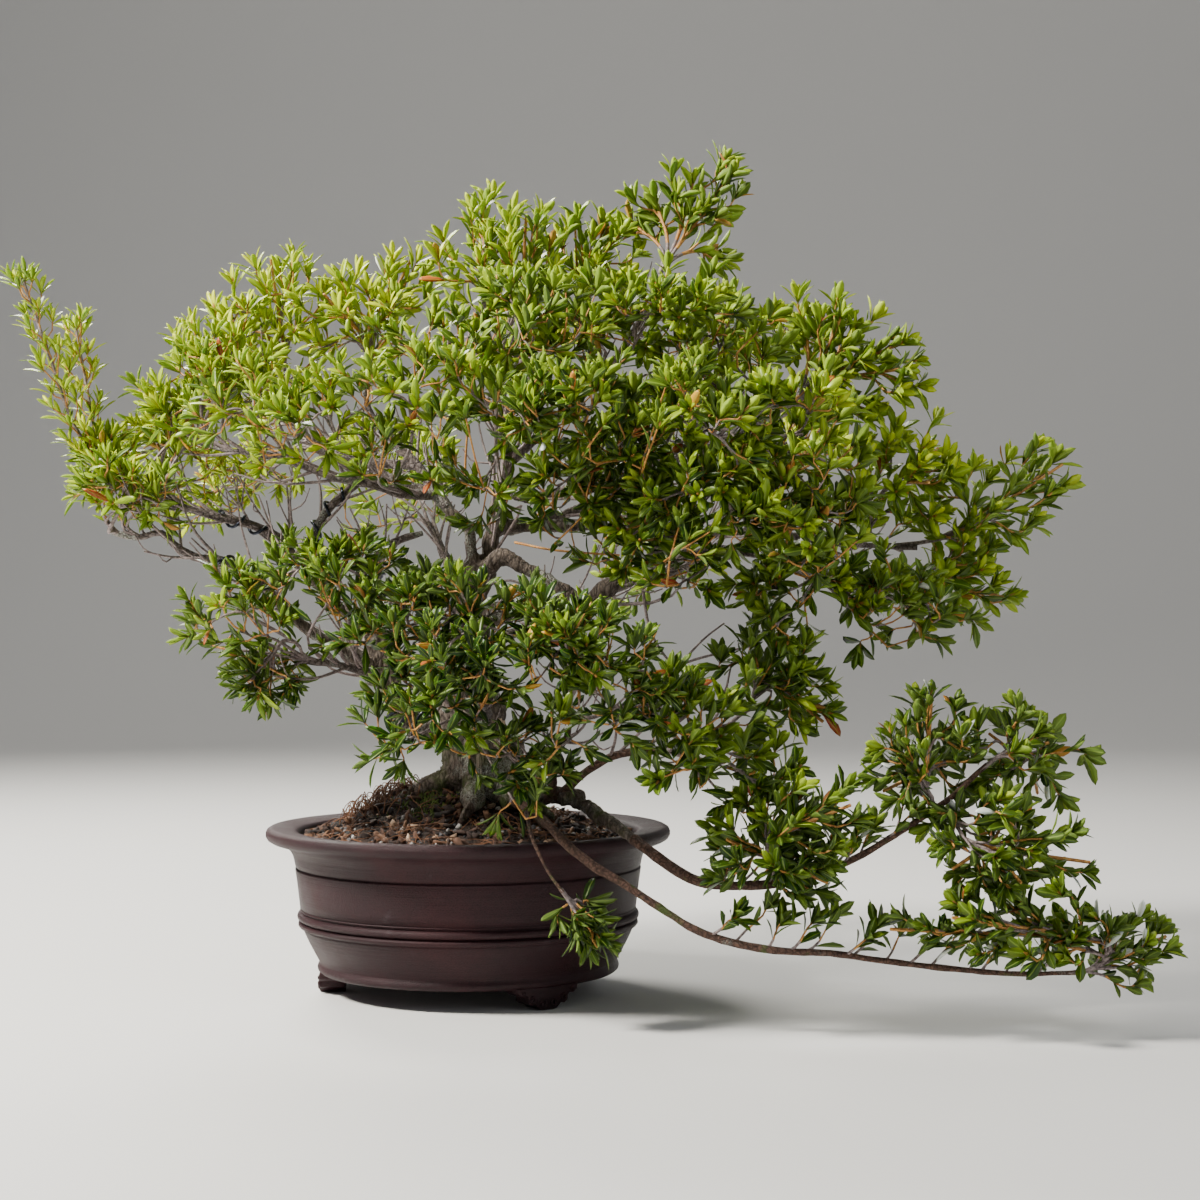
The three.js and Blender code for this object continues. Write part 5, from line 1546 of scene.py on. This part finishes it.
def grow_spray(name, limb_name, base, tufts, number):
    stem = Course(stem_points(limb_name, seen([base])[0], seen([tufts[0][:3]])[0]))
    base_share = stem.shares[2 * WALK_STEPS]
    shares = np.linspace(0, 1, STEM_STEPS)
    radii = np.linspace(STEM_RADIUS, SHOOT_RADIUS, STEM_STEPS) * MM
    limb = limbs[limb_name]
    foot = limb.shares[np.argmin(np.linalg.norm(limb.line - stem.at(0.0), axis=1))]
    nearby = np.clip(foot + np.linspace(-LIMB_STRETCH, LIMB_STRETCH, LIMB_PLACES), *LIMB_SPAN)
    limb_wood = [(limb.at(share), limb.heading(share)) for share in nearby]
    twigs = []
    leaves = []
    if name in LEAFY_LIMBS:
        grow_on_limb(limb, *LEAFY_LIMBS[name], twigs, leaves)
    fan = name in FAN_SPRAYS
    golden = int(GOLDEN_FROM * len(shares)) if fan else len(shares) - 1
    for index, (x, z, depth, spread, shoots) in enumerate(tufts):
        tip = seen([(x, z, depth)])[0]
        line = stem
        first = base_share
        if index:
            fork = stem.at(base_share)
            bend = fork + stem.heading(base_share) * STEM_BEND * np.linalg.norm(tip - fork)
            line = Course(np.array([fork, 0.6 * bend + 0.4 * (fork + tip) / 2, tip]))
            first = FORK_WOOD_FROM
        if not spread:
            line = Course(line.at(np.linspace(0, WHIP["end"], 5)))
        twigs.append((line.at(shares[:golden + 1]), radii[:golden + 1], OLD_WOOD))
        if fan:
            twigs.append((line.at(shares[golden:]), radii[golden:], NEW_WOOD))
        if not spread:
            grow_long = grow_runner if fan else grow_whip
            grow_long(line, twigs, leaves, shoots)
            continue
        wood_shares = np.linspace(first * 0.5, WOOD_UP_TO, WOOD_PLACES)
        skeleton = [(line.at(share), line.heading(share)) for share in wood_shares]
        fuller = FORKED_FULLER if len(tufts) > 1 else 1.0
        growth = (line, tip, spread * MM)
        if fan:
            fuller *= LOW_RIGHT["shoots"] if is_low_right(tip) else 1.0
            count = int(round(FAN_SHOOTS * shoots * fuller))
            grow_fan(*growth, count, skeleton, twigs, leaves, number * TUFT_TURN)
        else:
            fuller *= SPARSER if name in SPARSE_SPRAYS else 1.0
            count = int(round(SHOOTS_PER_TUFT * shoots * fuller))
            grow_tuft(*growth, count, skeleton, limb_wood, twigs, leaves, number * TUFT_TURN)
    return twigs, leaves


print(sum(len(tufts) for _, _, tufts in SPRAYS.values()), "tufts to grow")

# %% Grow and join every spray
rng = np.random.default_rng(2024)


def joined(name, meshes):
    pieces = [link(f"{name}_{i}", mesh) for i, mesh in enumerate(meshes)]
    with bpy.context.temp_override(
            active_object=pieces[0], object=pieces[0], selected_objects=pieces,
            selected_editable_objects=pieces):
        bpy.ops.object.join()
    piece = pieces[0]
    piece.name = name
    piece.data.name = name
    return piece


leaf_count = 0
for number, (name, (limb_name, base, tufts)) in enumerate(SPRAYS.items()):
    twigs, leaves = grow_spray(name, limb_name, base, tufts, number)
    leaf_count += len(leaves)
    places, frames, tones = (np.array(column) for column in zip(*leaves))
    leaf_part = stamped("leaves", leaf, places, frames, tones)
    twig_part = tubes("twigs", twigs, 0, (old_twig, new_twig))
    for material in (leaf_top, leaf_under):
        leaf_part.materials.append(material)
    spray = joined(f"foliage_{name}", [twig_part, leaf_part])
    finished(spray, "leaf", f"spray_{name}")
print(leaf_count, "leaves in all")

# %% [markdown]
# ## The soil
#
# The soil is a coarse mix of bark chips, grit and fibre, heaped up towards the trunk, with moss
# where it stays damp. The heap is spun like the pot and roughened. The mix is stamped over it.

# %% The heap
SOIL_OUTLINE = [
    (0.0, 31.4), (26.0, 31.4), (26.0, 29.6), (111.0, 29.6), (123.0, 41.0), (132.6, 66.4),
    (138.6, 108.0), (143.4, 132.0), (143.2, 134.4)]
HEAP = [(0.0, 168.0), (48.0, 160.5), (84.0, 148.0), (118.0, 138.5), (143.2, 134.4)]
MOUND = {"x": -52.0, "y": -14.0, "height": 16.0, "reach": 46.0}
HEAP_RINGS = 44
SOIL_STEPS = 150


def heap_height(r):
    radii, heights = np.array(HEAP).T
    return np.interp(r, radii, heights)


def ground(x, y):
    """How high the soil's surface is at a place given in millimetres from the pot's axis."""
    r = np.hypot(x, y)
    away = np.hypot(x - MOUND["x"], y - MOUND["y"]) / MOUND["reach"]
    fade = np.clip((143.0 - r) / 20.0, 0.0, 1.0)
    return heap_height(r) + (MOUND["height"] * np.exp(-away * away)) * fade


def rough(x, y):
    spots = np.stack([x, y, np.full_like(x, 7.0)], axis=1)
    return 2.2 * noisy(spots, 0.09, 4) + 1.1 * noisy(spots, 0.35, 2)


top_rings = [(r, heap_height(r)) for r in np.linspace(143.2, 0, HEAP_RINGS)[1:]]
soil_bm = spun(SOIL_OUTLINE + top_rings, SOIL_STEPS)
soil_mesh = to_mesh(soil_bm, "soil_heap")
points = get_points(soil_mesh)
x, y = ((points - AXIS) / MM)[:, :2].T
on_top = points[:, 2] > 134.5 * MM
raised = (ground(x, y) + rough(x, y) * np.clip((143.0 - np.hypot(x, y)) / 8.0, 0.0, 1.0)) * MM
points[:, 2] = np.where(on_top, raised, points[:, 2])
set_points(soil_mesh, points)

soil_mix = new_material("bark_soil", 0.95)
crumbs = cells(soil_mix, place(soil_mix), 420.0)
soil_noise = speckle(soil_mix, place(soil_mix), 240.0, 5.0)
soil_color = ramp(soil_mix, soil_noise, (0.35, (0.01, 0.006, 0.005)), (0.55, (0.035, 0.019, 0.013)),
                  (0.72, (0.09, 0.048, 0.028)))
dress(soil_mix, soil_color, None, calculate(soil_mix, "ADD", crumbs, soil_noise), 0.002, 1.0)
soil = link("soil_heap", soil_mesh, soil_mix)
finished(soil, "soil", "soil")

# %% [markdown]
# A chip is a small block with its corners knocked about. Four shapes of bark and three of stone are
# enough, because each copy has its own size, turn and tone. They lie nearly flat.

# %% Chips and grit
CHIP_ROUNDING = 0.22
CHIP_CHANCE = 0.3
CHIP_LIFT = 0.25 - 0.2


def chip_template(seed, size):
    chance = np.random.default_rng(seed)
    bm = bmesh.new()
    bmesh.ops.create_cube(bm, size=1.0)
    bmesh.ops.bevel(
        bm, geom=bm.edges[:], offset=CHIP_ROUNDING, segments=1, profile=0.5, affect="EDGES",
        material=-1)
    for vert in bm.verts:
        vert.co = Vector(vert.co[k] * size[k] * (1 + CHIP_CHANCE * chance.normal()) for k in range(3))
    bmesh.ops.recalc_face_normals(bm, faces=bm.faces)
    mesh = to_mesh(bm, "chip", smooth=False)
    template = read_template(mesh)
    bpy.data.meshes.remove(mesh)
    return template


def scatter(count, span, chance):
    r = np.sqrt(chance.uniform(0, span**2, count))
    angle = chance.uniform(0, 2 * math.pi, count)
    return r * np.cos(angle), r * np.sin(angle)


def lying_frames(count, chance, tilt, sizes):
    frames = np.zeros((count, 3, 3))
    for i in range(count):
        turn = Matrix.Rotation(chance.uniform(0, 2 * math.pi), 3, "Z")
        tip = Matrix.Rotation(chance.normal(0, tilt), 3, "X")
        tip = tip @ Matrix.Rotation(chance.normal(0, tilt), 3, "Y")
        frames[i] = np.array((turn @ tip).transposed()) * sizes[i] * MM
    return frames


def strew(name, templates, count, span, sizes, tilt, seed):
    chance = np.random.default_rng(seed)
    meshes = []
    for template in templates:
        share = count // len(templates)
        x, y = scatter(share, span, chance)
        size = chance.uniform(*sizes, share)
        z = ground(x, y) + rough(x, y) + size * CHIP_LIFT
        places = np.stack([x, y, z], axis=1) * MM + AXIS
        tones = chance.random((share, 4))
        meshes.append(stamped(name, template, places, lying_frames(share, chance, tilt, size), tones))
    return meshes


def toned_material(name, roughness, *stops):
    material = new_material(name, roughness)
    tone = add(material, "ShaderNodeVertexColor", {}, layer_name="tone").outputs["Color"]
    chance = add(material, "ShaderNodeSeparateColor", {"Color": tone}).outputs["Red"]
    streak = speckle(material, place(material), 500.0, 4.0)
    shade = ramp(material, streak, (0.3, (0.6, 0.6, 0.6)), (0.65, (1.15, 1.15, 1.15)))
    color = mix(material, 1.0, ramp(material, chance, *stops), shade, "MULTIPLY")
    return dress(material, color, None, streak, 0.0006, 0.7)


bark_chips = toned_material(
    "bark_chips", 0.9, (0.0, (0.01, 0.007, 0.006)), (0.5, (0.04, 0.021, 0.015)),
    (0.78, (0.11, 0.052, 0.03)), (0.93, (0.24, 0.125, 0.07)), (1.0, (0.52, 0.38, 0.27)))
grit_stone = toned_material(
    "grit", 0.8, (0.0, (0.02, 0.02, 0.024)), (0.6, (0.1, 0.095, 0.1)), (0.85, (0.3, 0.28, 0.27)),
    (1.0, (0.78, 0.74, 0.7)))
CHIP_SIZES = [(1.0, 0.42, 0.22), (0.8, 0.55, 0.26), (1.2, 0.3, 0.2), (0.7, 0.6, 0.35)]
chips = [chip_template(40 + i, size) for i, size in enumerate(CHIP_SIZES)]
stones = [chip_template(60 + i, (0.7, 0.62, 0.5)) for i in range(3)]
chip_layers = strew("chips", chips, 1100, 140.0, (4.0, 15.0), 0.5, 5)
chip_piece = joined("soil_chips", chip_layers)
chip_piece.data.materials.append(bark_chips)
finished(chip_piece, "soil")
grit_piece = joined("soil_grit", strew("grit", stones, 600, 141.0, (2.0, 7.0), 0.8, 6))
grit_piece.data.materials.append(grit_stone)
finished(grit_piece, "soil")

# %% Fibres and rootlets
FIBRES = 420
FIBRE_SPAN = 138.0
INSIDE_POT = 141.0
CREST = {"x": -76.0, "y": -8.0, "spread": 17.0, "count": 110}
MOSS = {"x": -34.0, "y": -44.0, "spread": 13.0, "blades": 260}
fibre_chance = np.random.default_rng(9)


def on_the_soil(x, y, heights):
    keep = INSIDE_POT / np.maximum(np.hypot(x, y), INSIDE_POT)
    x, y = x * keep, y * keep
    return np.stack([x, y, ground(x, y) + heights], axis=1) * MM + AXIS


def lying_fibre(x, y, length, lift):
    angle = fibre_chance.uniform(0, 2 * math.pi)
    shares = np.linspace(-0.5, 0.5, 7)
    turned_by = angle + fibre_chance.normal(0, 1.0) * shares
    fx = x + shares * length * np.cos(turned_by)
    fy = y + shares * length * np.sin(turned_by)
    return on_the_soil(fx, fy, 1.2 + lift * (1 - 4 * shares**2))


fibre_strands = []
for x, y in zip(*scatter(FIBRES, FIBRE_SPAN, fibre_chance)):
    line = lying_fibre(x, y, fibre_chance.uniform(10, 36), fibre_chance.uniform(0, 6))
    fibre_strands.append((line, fibre_chance.uniform(0.2, 0.5) * MM))
for _ in range(CREST["count"]):
    x, y = fibre_chance.normal((CREST["x"], CREST["y"]), CREST["spread"])
    line = lying_fibre(x, y, fibre_chance.uniform(10, 26), fibre_chance.uniform(4, 17))
    fibre_strands.append((line, fibre_chance.uniform(0.25, 0.5) * MM))
fibre = new_material("orange_fibre", 0.8)
dress(fibre, ramp(fibre, speckle(fibre, place(fibre), 60.0), (0.35, (0.045, 0.02, 0.012)),
                  (0.65, (0.25, 0.105, 0.045))))
fibres = link("soil_fibres", tubes("soil_fibres", fibre_strands, 0), fibre)
finished(fibres, "soil")

moss_strands = []
for _ in range(MOSS["blades"]):
    x, y = fibre_chance.normal((MOSS["x"], MOSS["y"]), MOSS["spread"])
    lean = fibre_chance.normal(0, 1.6, 2)
    blade = on_the_soil(
        np.array([x, x + lean[0]]), np.array([y, y + lean[1]]),
        np.array([0.0, fibre_chance.uniform(2, 4.5)]))
    moss_strands.append((blade, np.array([0.9, 0.25]) * MM))
moss = new_material("moss", 0.9)
dress(moss, ramp(moss, speckle(moss, place(moss), 90.0), (0.35, (0.02, 0.035, 0.006)),
                 (0.65, (0.1, 0.14, 0.02))))
finished(link("soil_moss", tubes("soil_moss", moss_strands, 0), moss), "soil")

# %% The drain mesh keeps its own shape
mesh_plastic = new_material("drain_mesh_plastic", 0.6)
weave = speckle(mesh_plastic, place(mesh_plastic), 500.0)
dress(mesh_plastic, ramp(mesh_plastic, weave, (0.4, (0.012, 0.012, 0.012)), (0.7, (0.03, 0.03, 0.03))))
drain_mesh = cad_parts["drain_mesh"]
drain_mesh.data.materials.clear()
drain_mesh.data.materials.append(mesh_plastic)
print("drain mesh dressed")
